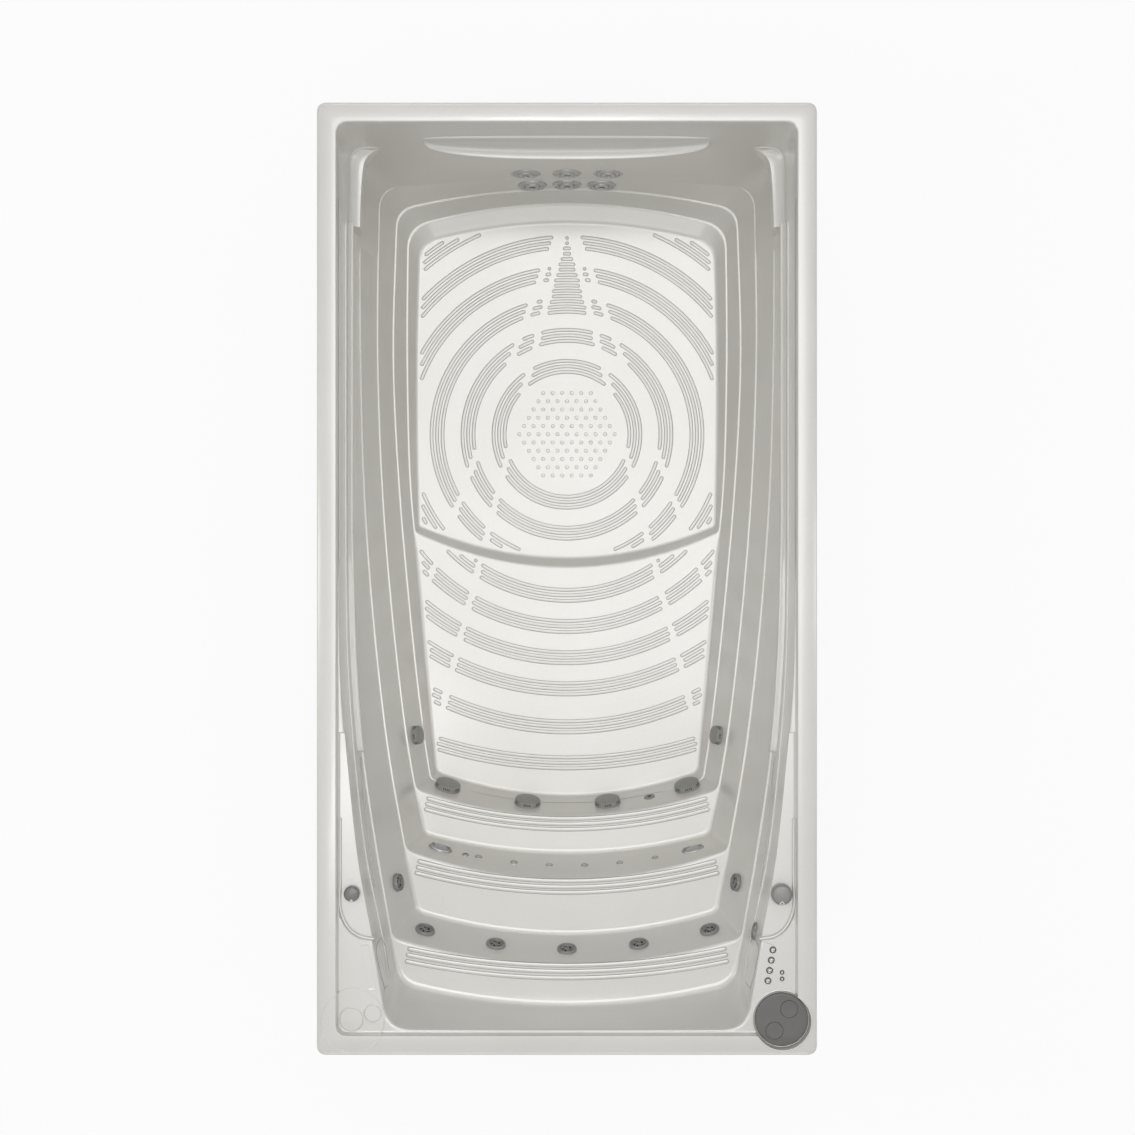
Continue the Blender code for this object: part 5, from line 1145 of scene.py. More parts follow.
# Turned profiles of the fittings: radius and height over the seat.
SWIM_RING = ((SWIM_FACE + 0.0012, -0.002), (SWIM_FACE + 0.0012, 0.0098),
             (SWIM_FACE + 0.0036, 0.0126), (0.0665, 0.0132), (0.0730, 0.0116),
             (SWIM_FLANGE + 0.0002, 0.0058), (SWIM_FLANGE + 0.0006, -0.0010))
SWIM_NOZZLE = ((0.0172, 0.0046), (0.0172, 0.0172), (0.0190, 0.0190), (0.0245, 0.0196),
               (0.0330, 0.0168), (0.0385, 0.0118), (0.0392, 0.0070), (0.0435, 0.0064),
               (0.0440, 0.0104), (0.0462, 0.0122), (0.0540, 0.0124), (0.0572, 0.0108),
               (0.0574, 0.0050))
SWIM_TIP = ((0.0115, 0.0060), (0.0115, 0.0150), (0.0128, 0.0158), (0.0140, 0.0150),
            (0.0140, 0.0060))
SWIM_BAR = ((0.0030, 0.0), (0.0030 - 0.0014 * 0.35, 0.0022 * 0.75), (0.0016, 0.0022))
JET_FACE_RING = ((0.0285, 0.0046), (0.0285, 0.0096), (0.0305, 0.0112), (0.0350, 0.0106),
                 (0.0357, 0.0050))
JET_FACE_HUB = ((0.0, 0.0124), (0.0050, 0.0120), (0.0078, 0.0094), (0.0082, 0.0050))
JET_VANE = ((0.0031, 0.0), (0.0031 - 0.0016 * 0.35, 0.0052 * 0.75), (0.0015, 0.0052))
DOME_FACE = ((0.0, 1.0), (0.50, 0.985), (0.80, 0.945), (0.90, 0.90), (0.955, 0.84),
             (0.962, 0.74))
DOME_RAIL = ((0.962, 0.74), (0.975, 0.50), (0.985, 0.28))
DOME_BASE = ((0.93, 0.30), (0.985, 0.28), (0.998, 0.16))
DOME_CORE = ((0.0, 0.88), (0.85, 0.80), (0.90, 0.70), (0.91, 0.0))
CAP_SHARES = ((0.0, 1.0), (0.40, 0.96), (0.62, 0.72), (0.70, 0.52), (0.80, 0.66), (0.94, 0.50))
RETURN_RING = ((0.0110, -0.001), (0.0112, 0.0064), (0.0140, 0.0098), (0.0230, 0.0092),
               (0.0300, 0.0050), (0.0306, -0.001))
LIGHT_RING = ((LIGHT_LENS - 0.0006, 0.0040), (LIGHT_LENS - 0.0002, 0.0092),
              (LIGHT_LENS + 0.0030, 0.0118), (0.0560, 0.0104), (LIGHT_RADIUS - 0.0014, 0.0070),
              (LIGHT_RADIUS + 0.0006, 0.0020), (LIGHT_RADIUS + 0.0006, -0.0012))
LIGHT_GLASS = ((0.0, 0.0122), (0.0180, 0.0118), (0.0330, 0.0102), (0.0430, 0.0076),
               (LIGHT_LENS - 0.0008, 0.0050))
SUCTION_PROUD = 0.036
KNOB_FLAT = 0.80
KNOB_FLUTES = 36
CANISTER_RADIUS = 0.1352
CANISTER_WALL = 0.005
CANISTER_DEPTH = 0.34
CANISTER_PORT = 0.02
LID_TOP = 0.0143
LID_EDGE = 0.1280
DIMPLE_RADIUS = 0.0435
DIMPLE_SPREAD = 0.0625
DIMPLE_ANGLE = math.radians(56)
# Radius, lift and whether the row follows the rim, of the wall round the lid.
SOCKET_ROWS = (
    (WELL_RADIUS + 0.0065, 0.0003, True), (WELL_RADIUS + 0.0035, 0.0014, True),
    (WELL_RADIUS + 0.0010, 0.0010, True), (WELL_RADIUS, -0.0025, True),
    (WELL_RADIUS - 0.0004, -0.0060, True), (WELL_RADIUS - 0.0006, 0.0030, False),
    (WELL_RADIUS - 0.0016, 0.0008, False), (WELL_RADIUS - 0.0030, 0.0, False),
    (LID_EDGE + 0.0006, 0.0, False), (LID_EDGE + 0.0002, -0.0060, False),
)
CARTRIDGE_RADIUS = 0.088
CARTRIDGE_CORE = 0.030
PLEATS = 96
CARTRIDGE_LENGTH = 0.26


def seat_at(point, normal):
    """The frame of a fitting: its Z axis points into the pool and its X axis lies level."""
    normal = Vector(normal).normalized()
    across = Vector((0.0, 0.0, 1.0)).cross(normal).normalized()
    turn = Matrix((across, normal.cross(across), normal)).transposed()
    return Matrix.Translation(point) @ turn.to_4x4()


def deck_seat(place):
    """The frame of a fitting that stands on the deck."""
    return Matrix.Translation((*place, DECK_Z))


def spiral(start, end, turn, first):
    """A path from a radius to another that turns by an angle on its way."""
    path = []
    for t in np.linspace(0, 1, 14):
        radius = start + (end - start) * t
        angle = first + turn * t
        path.append((radius * math.cos(angle), radius * math.sin(angle)))
    return path


def torus_into(bm, radius, thick, z, sides, matrix):
    """A ring of round section, open at its foot."""
    profile = [(radius - thick * math.cos(a), z + thick * math.sin(a)) for a in turns(math.pi, 12)]
    turned_into(bm, profile, sides, matrix)


# ---------------------------------------------------------------- jets
def swim_jets(finishes):
    """The escutcheons of the swim jets, and the nozzle that turns in each."""
    rings, gaps = bmesh.new(), bmesh.new()
    for i, seat in enumerate(SWIM_SEATS):
        place = seat_at(*seat)
        node = f"swim_jet_nozzle_{i + 1}"
        turned_into(rings, arc_profile(SWIM_RING, 0.0025), 72, place)
        torus_into(rings, 0.0762, 0.0012, 0.0068, 72, place)
        turned_into(gaps, [(0.0, 0.0042), (SWIM_FACE + 0.0014, 0.0042)], 48, place)
        bm = bmesh.new()
        turned_into(bm, arc_profile(SWIM_NOZZLE, 0.0016, 3), 64, place)
        turned_into(bm, SWIM_TIP, 40, place)
        for k in range(3):
            angle = math.radians(90 + 120 * k)
            reach = np.array((math.cos(angle), math.sin(angle)))
            path = [reach * r for r in np.linspace(0.0475, 0.0535, 6)]
            bar_into(bm, path, 0.0120, SWIM_BAR, place)
        dress(mesh_object(f"jet_nozzle_{i + 1}", bm, finishes["silver"], 40), node,
              "silver_plastic", node)
        bm = bmesh.new()
        turned_into(bm, [(0.0, 0.0062), (0.0168, 0.0062)], 32, place)
        turned_into(bm, [(0.0392, 0.0067), (0.0438, 0.0067)], 48, place)
        hollow = mesh_object(f"jet_nozzle_hollow_{i + 1}", bm, finishes["shadow"])
        dress(hollow, node, "dark_plastic")
    dress(mesh_object("swim_jet_rings", rings, finishes["silver"], 40), "spa", "silver_plastic")
    dress(mesh_object("swim_jet_gaps", gaps, finishes["shadow"]), "spa", "dark_plastic")


def therapy_jets(finishes):
    """The thick rounded rings of the therapy jets, and the vaned face that turns in each."""
    rings = bmesh.new()
    for i, seat in enumerate(THERAPY_SEATS):
        place = seat_at(*seat)
        outer = JET_FLANGE if i < 5 else SIDE_JET_FLANGE
        ring = [(JET_FACE + 0.0004, -0.001), (JET_FACE + 0.0004, 0.0100),
                (JET_FACE + 0.0024, 0.0160), ((JET_FACE + outer) / 2 + 0.001, 0.0178),
                (outer - 0.0016, 0.0142), (outer + 0.0004, 0.0080), (outer + 0.0008, -0.0010)]
        turned_into(rings, arc_profile(ring, 0.0026), 56, place)
        bm = bmesh.new()
        turned_into(bm, arc_profile(JET_FACE_RING, 0.0012, 3), 56, place)
        turned_into(bm, arc_profile(JET_FACE_HUB, 0.0012, 3), 32, place)
        for k in range(5):
            path = spiral(0.0070, 0.0296, math.radians(58), math.radians(72 * k))
            bar_into(bm, path, 0.0046, JET_VANE, place)
        name = f"therapy_jet_face_{i + 1}"
        dress(mesh_object(f"therapy_face_{i + 1}", bm, finishes["jet"], 40), name,
              "silver_plastic", name)
        turned_piece(f"therapy_hollow_{i + 1}", [(0.0, 0.0048), (0.0290, 0.0048)], 32, place,
                     (finishes["shadow"],), name, "dark_plastic")
    dress(mesh_object("therapy_jet_rings", rings, finishes["jet"], 40), "spa", "grey_plastic")


# ---------------------------------------------------------------- suctions and small fittings
def slotted_dome(name, place, radius, finishes, node):
    """A deep domed cover with a ring of slots in its side, over a flat flange."""
    proud = SUCTION_PROUD
    face, rail, base, core = ([(radius * reach, proud * level) for reach, level in shares]
                              for shares in (DOME_FACE, DOME_RAIL, DOME_BASE, DOME_CORE))
    base += [(radius * 1.010, 0.0020), (radius * 1.010, -0.0012)]
    bm = bmesh.new()
    turned_into(bm, arc_profile(face, 0.0020, 3), 60, place)
    pitch, bar = math.radians(8.4), math.radians(4.8)
    for group in range(6):
        middle = math.radians(60 * group + 90)
        for k in range(-2, 3):
            turned_into(bm, rail, 2, place, middle + pitch * k - bar / 2, bar)
        turned_into(bm, rail, 5, place, middle + pitch * 2.2, math.radians(60) - pitch * 4.4)
    turned_into(bm, arc_profile(base, 0.0012, 3), 60, place)
    dress(mesh_object(name, bm, finishes["cover"], 40), "spa", "dark_plastic", node)
    turned_piece(name + "_inside", core, 48, place, (finishes["shadow"],), "spa", "dark_plastic")


def suctions(finishes):
    """The four large suction covers and the two small ones."""
    for i, seat in enumerate(SUCTION_SEATS):
        slotted_dome(f"suction_dome_{i + 1}", seat_at(*seat), SUCTION_RADIUS, finishes,
                     f"suction_cover_{i + 1}")
    for name, point, normal in SIDE_SUCTION_SEATS:
        slotted_dome(name + "_dome", seat_at(point, normal), SIDE_SUCTION_RADIUS, finishes, name)


def domed_cap(bm, place, radius, proud):
    """A round cap with a raised rim and a low dome."""
    profile = [(radius * reach, proud * level) for reach, level in CAP_SHARES]
    profile += [(radius, 0.0008), (radius, -0.0010)]
    turned_into(bm, arc_profile(profile, 0.0012, 3), 40, place)


def small_fittings(finishes):
    """Air injectors, the temperature sensor and the small return."""
    bm = bmesh.new()
    for seat in INJECTOR_SEATS:
        place = seat_at(*seat)
        domed_cap(bm, place, 0.0204, 0.0085)
        for k in range(6):
            angle = math.radians(60 * k + 30)
            hole = (0.0118 * math.cos(angle), 0.0118 * math.sin(angle), 0.0050)
            turned_into(bm, [(0.0, 0.0022), (0.0013, 0.0018), (0.0018, 0.0)], 10,
                        place @ Matrix.Translation(hole))
    dress(mesh_object("injector_caps", bm, finishes["injector"], 40), "spa", "grey_plastic")
    bm = bmesh.new()
    place = seat_at(*SENSOR_SEAT)
    domed_cap(bm, place, 0.0190, 0.0080)
    dress(mesh_object("sensor_cap", bm, finishes["light_ring"], 40), "spa", "dark_plastic",
          "temperature_sensor")
    dark = (finishes["shadow"],)
    turned_piece("sensor_tip", [(0.0, 0.0098), (0.0052, 0.0090), (0.0062, 0.0060)], 24, place,
                 dark, "spa", "dark_plastic")
    place = seat_at(*RETURN_SEAT)
    turned_piece("return_ring", arc_profile(RETURN_RING, 0.002, 3), 48, place,
                 (finishes["cover"], 40), "spa", "dark_plastic")
    turned_piece("return_bore", [(0.0, 0.0066), (0.0113, 0.0066)], 24, place, dark, "spa",
                 "dark_plastic")


def step_lights(finishes):
    """The oval lights: a bright ring with four lugs, and a pale grey lens."""
    for side, point, normal in LIGHT_SEATS:
        seat = seat_at(point, normal)
        place = seat @ Matrix.Diagonal((1.0, LIGHT_SQUASH, 1.0, 1.0))
        bm = bmesh.new()
        turned_into(bm, arc_profile(LIGHT_RING, 0.002, 3), 72, place)
        for degrees in (35, 145, 215, 325):
            angle = math.radians(degrees)
            spot = (0.0525 * math.cos(angle), 0.0525 * LIGHT_SQUASH * math.sin(angle), 0.0)
            turn = Matrix.Rotation(math.atan(math.tan(angle) * LIGHT_SQUASH), 4, "Z")
            box_into(bm, (-0.0062, -0.0048, 0.0060), (0.0062, 0.0048, 0.0134), 0.0020, 3,
                     seat @ Matrix.Translation(spot) @ turn)
        dress(mesh_object(f"light_ring_{side}", bm, finishes["light_ring"], 40), "spa", "chrome",
              f"step_light_{side}")
        turned_piece(f"light_glass_{side}", LIGHT_GLASS, 64, place, (finishes["lens"], 40), "spa",
                     "lens", f"light_lens_{side}")


# ---------------------------------------------------------------- deck
def push_buttons(finishes):
    """Chromed push buttons: a fixed ring, darkened to paint the shade of the groove round the cap,
    and a domed cap that travels in it.
    """
    rings = bmesh.new()
    for name, place, radius in BUTTONS:
        seat = deck_seat(place)
        inner = radius * CAP_SHARE
        ring = [(inner + 0.0002, 0.0), (inner + 0.0002, 0.0038), (inner + 0.0012, 0.0048),
                (radius * 0.93, 0.0044), (radius + 0.0002, 0.0014), (radius + 0.0002, -0.0006)]
        turned_into(rings, arc_profile(ring, 0.0010, 3), 40, seat)
        cap = [(0.0, CAP_TOP), (inner * 0.45, CAP_TOP - 0.0005), (inner * 0.80, CAP_TOP - 0.0022),
               (inner * 0.95, CAP_TOP - 0.0032), (inner - 0.0002, CAP_TOP - 0.0040),
               (inner - 0.0002, CAP_FOOT)]
        turned_piece(f"cap_of_{name}", arc_profile(cap, 0.0012, 3), 36, seat,
                     (finishes["chrome"], 50), name, "chrome", name)
    # The rings are chrome darkened to paint the shade of the groove round each cap.
    dress(mesh_object("button_rings", rings, finishes["dark_metal"], 40), "spa", "chrome")


def knob(name, place, radius, height, mark, looks):
    """A low round knob with a sloping edge, fine grip flutes and a pale mark at its south side."""
    cap_look, edge_look, mark_look, dot_look = looks
    seat = deck_seat(place)
    flat = radius * KNOB_FLAT
    bm = bmesh.new()
    middle = bm.verts.new((0.0, 0.0, height))
    rings = []
    for reach, level, depth in ((flat * 0.97, height, 0.0), (flat, height - 0.0004, 0.0),
                                (flat + 0.0016, height - 0.0016, 0.0),
                                (radius * 0.93, height - 0.0040, 0.0004),
                                (radius, height - 0.0078, 0.0009), (radius, 0.0090, 0.0009)):
        row = []
        for angle in turns(2 * math.pi, ROUND_SIDES)[:-1]:
            here = reach - depth * (0.5 + 0.5 * math.cos(KNOB_FLUTES * angle))
            row.append((here * math.cos(angle), here * math.sin(angle), level))
        rings.append(ring_of(bm, row))
    for i in range(ROUND_SIDES):
        bm.faces.new((middle, rings[0][i], rings[0][(i + 1) % ROUND_SIDES]))
    add_bands(bm, rings)
    bmesh.ops.transform(bm, matrix=seat, verts=bm.verts)
    dress(mesh_object(f"{name}_cap", bm, cap_look, 40), name, "knob_plastic", name)
    edge = [(flat + 0.0004, height - 0.0001), (flat + 0.0018, height - 0.0013),
            (radius * 0.90, height - 0.0024), (radius * 0.935, height - 0.0038)]
    turned_piece(f"{name}_edge", edge, 96, seat, (edge_look, 40), name, "knob_plastic")
    tip, base, wide, dot = (radius * share for share in mark)
    lift = height + 0.0004
    half = (tip + base) / 2
    corners = [(0.0, base), (wide * 0.5, half), (wide * 0.8, tip * 0.92), (0.0, tip),
               (-wide * 0.8, tip * 0.92), (-wide * 0.5, half)]
    bm = bmesh.new()
    verts = ring_of(bm, [(x, y, lift) for x, y in corners])
    low = ring_of(bm, [(x * 1.03, y * 1.01, lift - 0.0060) for x, y in corners])
    bm.faces.new(verts)
    add_band(bm, verts, low)
    bmesh.ops.transform(bm, matrix=seat, verts=bm.verts)
    dress(mesh_object(f"{name}_mark", bm, mark_look), name, "pipe_plastic")
    if dot:
        spot = seat @ Matrix.Translation((0.0, (tip * 2 + base) / 3, lift))
        turned_piece(f"{name}_dot", [(0.0, 0.0006), (dot, 0.0004), (dot, -0.001)], 24, spot,
                     (dot_look,), name, "dark_plastic")


def filter_cover(finishes):
    """The filter lid with its two shallow finger dishes and the skirt under it."""
    seat = deck_seat(FILTER_PLACE)
    top = LID_TOP
    bm = bmesh.new()
    edge = [(0.0, top), (0.1180, top), (0.1246, top - 0.0006), (0.1276, top - 0.0030),
            (0.1280, top - 0.0094), (0.1232, top - 0.0100)]
    turned_into(bm, arc_profile(edge, 0.0012, 3), 128, seat)
    lid = mesh_object("lid_plate", bm, finishes["lid"], 40)
    dish = [(0.0, top + 0.004), (DIMPLE_RADIUS, top + 0.004),
            (DIMPLE_RADIUS - 0.0004, top - 0.0044), (DIMPLE_RADIUS - 0.0030, top - 0.0046),
            (DIMPLE_RADIUS - 0.0038, top - 0.0010), (DIMPLE_RADIUS * 0.55, top - 0.0016),
            (0.0, top - 0.0020)]
    cutters = []
    for angle in (DIMPLE_ANGLE, DIMPLE_ANGLE + math.pi):
        spot = (DIMPLE_SPREAD * math.cos(angle), DIMPLE_SPREAD * math.sin(angle), 0.0)
        bm = bmesh.new()
        turned_into(bm, dish, 72, seat @ Matrix.Translation(spot))
        cutters.append(mesh_object("dimple_cutter", bm, None))
    carve(lid, cutters)
    dress(lid, "filter_lid", "lid_plastic", "filter_lid")
    bm = bmesh.new()
    skirt = [(0.1232, top - 0.0100), (0.1232, -0.0100), (0.1240, -0.0180), (0.1190, -0.0180),
             (0.1190, top - 0.0100)]
    turned_into(bm, arc_profile(skirt, 0.001, 3), 96, seat)
    for k in range(4):
        turn = Matrix.Rotation(math.radians(45 + 90 * k), 4, "Z")
        box_into(bm, (0.1215, -0.010, -0.0160), (0.1262, 0.010, -0.0120), 0.0008, 2, seat @ turn)
    dress(mesh_object("lid_skirt", bm, finishes["lid"], 40), "filter_lid", "lid_plastic")


def rim_height(x, y):
    """The height of the deck and rim surface at a place near the south-east corner."""
    inset = min(WIDTH / 2 - abs(x), LENGTH / 2 - abs(y))
    share = (inset - RIM_FLAT) / RIM_SLANT
    return HEIGHT + (DECK_Z - HEIGHT) * min(max(share, 0.0), 1.0)


def filter_socket(pearl):
    """The moulded wall of the socket, from the rim and the deck down past the ring."""
    rows = []
    for radius, lift, on_rim in SOCKET_ROWS:
        row = []
        for angle in turns(2 * math.pi, ROUND_SIDES)[:-1]:
            x = FILTER_PLACE[0] + radius * math.cos(angle)
            y = FILTER_PLACE[1] + radius * math.sin(angle)
            level = rim_height(x, y) if on_rim else DECK_Z
            row.append((x, y, level + lift))
        rows.append(row)
    bm = bmesh.new()
    add_rows(bm, rows)
    return mesh_object("filter_socket", bm, pearl, 50)


# ---------------------------------------------------------------- cabinet
PAN_TOP = 0.0303
PANEL_TOP = 1.278
CABINET_X = 1.1835
CABINET_Y = 2.2635
PANEL_THICK = 0.014
CABINET_CORNER = 0.03
ACCESS_HALF = 0.65
ACCESS_LOW = 0.12
ACCESS_HIGH = 0.86
BOARD_GAP = 0.0022
BOARD_BEVEL = 0.0034
SIDE_SCREWS = (-2.20, -1.0695, 0.0225, 1.1145, 2.20)
END_SCREWS = (-1.10, -0.37, 0.37, 1.10)
DOOR_SCREWS = (-0.62, -0.21, 0.21, 0.62)
DOOR_SCREW_ROWS = (0.15, 0.83)
SCREW_HEAD = ((0.0018, 0.0010), (0.0044, 0.0012), (0.0052, 0.0002), (0.0052, -0.001))
SCREW_SLOT = ((0.0006, 0.0006, 0.0008), (0.0032, 0.0006, 0.0008), (0.0044, 0.0, 0.0012),
              (0.0006, 0.0, -0.0006))
BOARD_EDGES = (PAN_TOP, 0.2410, 0.4520, 0.6630, 0.8740, 1.0850, PANEL_TOP)


def board_into(bm, matrix, low, high, z_low, z_high):
    """A board of a panel between two places along it, with rounded long edges."""
    depth = PANEL_THICK
    z_low, z_high = z_low + BOARD_GAP / 2, z_high - BOARD_GAP / 2
    section = [(0.0, z_low + 0.0001), (depth - 0.0002, z_low + 0.0001),
               (depth, z_low + BOARD_BEVEL), (depth, (z_low + z_high) / 2),
               (depth, z_high - BOARD_BEVEL), (depth - 0.0002, z_high - 0.0001),
               (0.0, z_high - 0.0001)]
    section = arc_profile(section, 0.003, 3)
    ends = [ring_of(bm, [matrix @ Vector((place, y, z)) for y, z in section])
            for place in (low, high)]
    sheet(bm, ends)
    bm.faces.new(ends[0])
    bm.faces.new(ends[1][::-1])


def screws_into(bm, matrix, spots):
    """Round screw heads with a cross slot, set into a panel."""
    for along, z in spots:
        seat = Matrix.Translation((along, PANEL_THICK, z)) @ Matrix.Rotation(-math.pi / 2, 4, "X")
        seat = matrix @ seat
        turned_into(bm, SCREW_HEAD, 20, seat)
        for degrees in (45, 135, 225, 315):
            spoke = seat @ Matrix.Rotation(math.radians(degrees), 4, "Z")
            bm.faces.new(ring_of(bm, [spoke @ Vector(v) for v in SCREW_SLOT]))


def panel(name, matrix, spans, finishes, node, screw_spots):
    """A cabinet panel of boards, its dark backing and its screws."""
    boards, joints, screws = bmesh.new(), bmesh.new(), bmesh.new()
    for low, high, z_low, z_high in spans:
        cuts = [z for z in BOARD_EDGES[1:-1] if z_low < z < z_high]
        levels = [z_low] + cuts + [z_high]
        for a, b in zip(levels, levels[1:]):
            board_into(boards, matrix, low, high, a, b)
        corners = [matrix @ Vector((x, PANEL_THICK * 0.45, z))
                   for x, z in ((low, z_low), (high, z_low), (high, z_high), (low, z_high))]
        joints.faces.new(ring_of(joints, corners))
    screws_into(screws, matrix, screw_spots)
    dress(mesh_object(name + "_boards", boards, finishes["board"], 30), "spa", "cabinet_board",
          node)
    dress(mesh_object(name + "_joints", joints, finishes["shadow"]), "spa", "dark_plastic")
    dress(mesh_object(name + "_screws", screws, finishes["steel"], 30), "spa", "chrome")


def corner_trims(finishes):
    """The rounded corner posts of the cabinet."""
    outer, inner = CABINET_CORNER + 0.0026, CABINET_CORNER - 0.006
    edge = [(inner, -0.040), (CABINET_CORNER + 0.0012, -0.040), (CABINET_CORNER + 0.0024, -0.0375)]
    outline = edge + [(outer * math.cos(a), outer * math.sin(a)) for a in turns(math.pi / 2, 12)]
    outline += [(y, x) for x, y in edge[::-1]]
    outline += [(inner * math.cos(a), inner * math.sin(a)) for a in turns(math.pi / 2, 8)[::-1]]
    for side, side_name in ((-1, "west"), (1, "east")):
        for end, end_name in ((-1, "south"), (1, "north")):
            middle_x = side * (CABINET_X - CABINET_CORNER)
            middle_y = end * (CABINET_Y - CABINET_CORNER)
            bm = bmesh.new()
            rings = [ring_of(bm, [(middle_x + side * x, middle_y + end * y, z) for x, y in outline])
                     for z in (PAN_TOP + 0.0002, HEIGHT - LIP_DROP - 0.0006)]
            add_bands(bm, rings)
            bm.faces.new(rings[0])
            bm.faces.new(rings[1][::-1])
            name = f"corner_trim_{side_name}_{end_name}"
            dress(mesh_object(name, bm, finishes["trim"], 30), "spa", "cabinet_board")


def cabinet(finishes):
    """The four sides of the cabinet, with the access panel in the south end."""
    back_x, back_y = CABINET_X - PANEL_THICK, CABINET_Y - PANEL_THICK
    reach_y, reach_x = CABINET_Y - CABINET_CORNER + 0.006, CABINET_X - CABINET_CORNER
    rows = [(z + BOARD_EDGES[i + 1]) / 2 for i, z in enumerate(BOARD_EDGES[:-2])]
    turned = {angle: Matrix.Rotation(math.radians(angle), 4, "Z") for angle in (-90, 90, 180)}
    east = Matrix.Translation((back_x, 0.0, 0.0)) @ turned[-90]
    west = Matrix.Translation((-back_x, 0.0, 0.0)) @ turned[90]
    north = Matrix.Translation((0.0, back_y, 0.0))
    south = Matrix.Translation((0.0, -back_y, 0.0)) @ turned[180]
    gap, slack = ACCESS_HALF + 0.0012, 0.0008
    door = ACCESS_HALF - slack
    side = [(-reach_y, reach_y, PAN_TOP, PANEL_TOP)]
    south_spans = [(-reach_x, -gap, PAN_TOP, PANEL_TOP), (gap, reach_x, PAN_TOP, PANEL_TOP),
                   (-gap, gap, PAN_TOP, ACCESS_LOW - 0.0012),
                   (-gap, gap, ACCESS_HIGH + 0.0012, PANEL_TOP)]
    panels = (
        ("west_panel", west, side, "side_panel_left", SIDE_SCREWS, rows),
        ("east_panel", east, side, "side_panel_right", SIDE_SCREWS, rows),
        ("north_panel", north, [(-reach_x, reach_x, PAN_TOP, PANEL_TOP)], "end_panel_north",
         END_SCREWS, rows),
        ("south_panel", south, south_spans, "end_panel_south", (END_SCREWS[0], END_SCREWS[-1]),
         rows),
        ("access_door", south, [(-door, door, ACCESS_LOW + slack, ACCESS_HIGH - slack)],
         "access_panel", DOOR_SCREWS, DOOR_SCREW_ROWS),
    )
    for name, matrix, spans, node, columns, levels in panels:
        panel(name, matrix, spans, finishes, node, [(x, z) for x in columns for z in levels])
    corner_trims(finishes)


# ---------------------------------------------------------------- filter and hidden pieces
def canister(finishes):
    """The canister under the lid: a tube with a port in its floor and five ribs."""
    outer, inner = CANISTER_RADIUS, CANISTER_RADIUS - CANISTER_WALL
    top, low = DECK_Z - 0.0070, DECK_Z - CANISTER_DEPTH
    seat = Matrix.Translation((*FILTER_PLACE, 0.0))
    bm = bmesh.new()
    turned_into(bm, [(inner, top), (outer, top), (outer, low), (CANISTER_PORT, low),
                     (CANISTER_PORT, low + CANISTER_WALL), (inner, low + CANISTER_WALL)],
                ROUND_SIDES, seat, closed=True)
    for z in np.linspace(low + 0.03, DECK_Z - 0.06, 5):
        torus_into(bm, outer - 0.0006, 0.0024, z, 96, seat)
    dress(mesh_object("canister_tube", bm, finishes["socket"], 50), "spa", "dark_plastic",
          "filter_canister")


def cartridge(finishes):
    """The pleated filter cartridge with its two end caps."""
    low = DECK_Z - CANISTER_DEPTH + CANISTER_WALL + 0.0003
    cap, high = 0.012, low + CARTRIDGE_LENGTH
    seat = Matrix.Translation((*FILTER_PLACE, 0.0))
    fold_radii = (CARTRIDGE_RADIUS - 0.0140, CARTRIDGE_RADIUS - 0.0040)
    plan = [(fold_radii[i % 2] * math.cos(a), fold_radii[i % 2] * math.sin(a))
            for i, a in enumerate(turns(2 * math.pi, 2 * PLEATS)[:-1])]
    bm = bmesh.new()
    add_rows(bm, [[(x, y, z) for x, y in plan] for z in np.linspace(low + cap, high - cap, 12)])
    bmesh.ops.transform(bm, matrix=seat, verts=bm.verts)
    dress(mesh_object("cartridge_fleece", bm, finishes["fleece"], 20), "spa", "filter_fleece",
          "filter_cartridge")
    core, reach = CARTRIDGE_CORE, CARTRIDGE_RADIUS
    bm = bmesh.new()
    for a, b in ((low, low + cap), (high - cap, high)):
        ring = [(core, a + 0.0002), (core, b), (reach, b), (reach, a), (core, a)]
        turned_into(bm, arc_profile(ring, 0.0025, 3), 72, seat)
    turned_into(bm, [(core, high - cap), (core, low + cap)], 48, seat)
    dress(mesh_object("cartridge_caps", bm, finishes["white"], 40), "spa", "pipe_plastic")


# ---------------------------------------------------------------- materials
PEARL_DARK = (0.752, 0.735, 0.694)
PEARL_PALE = (0.780, 0.765, 0.728)
# Brightness of the darker pearl copy that paints shade on the steep sides of ribs and raised lines.
PAINTED_SHADE_SHARE = 0.48
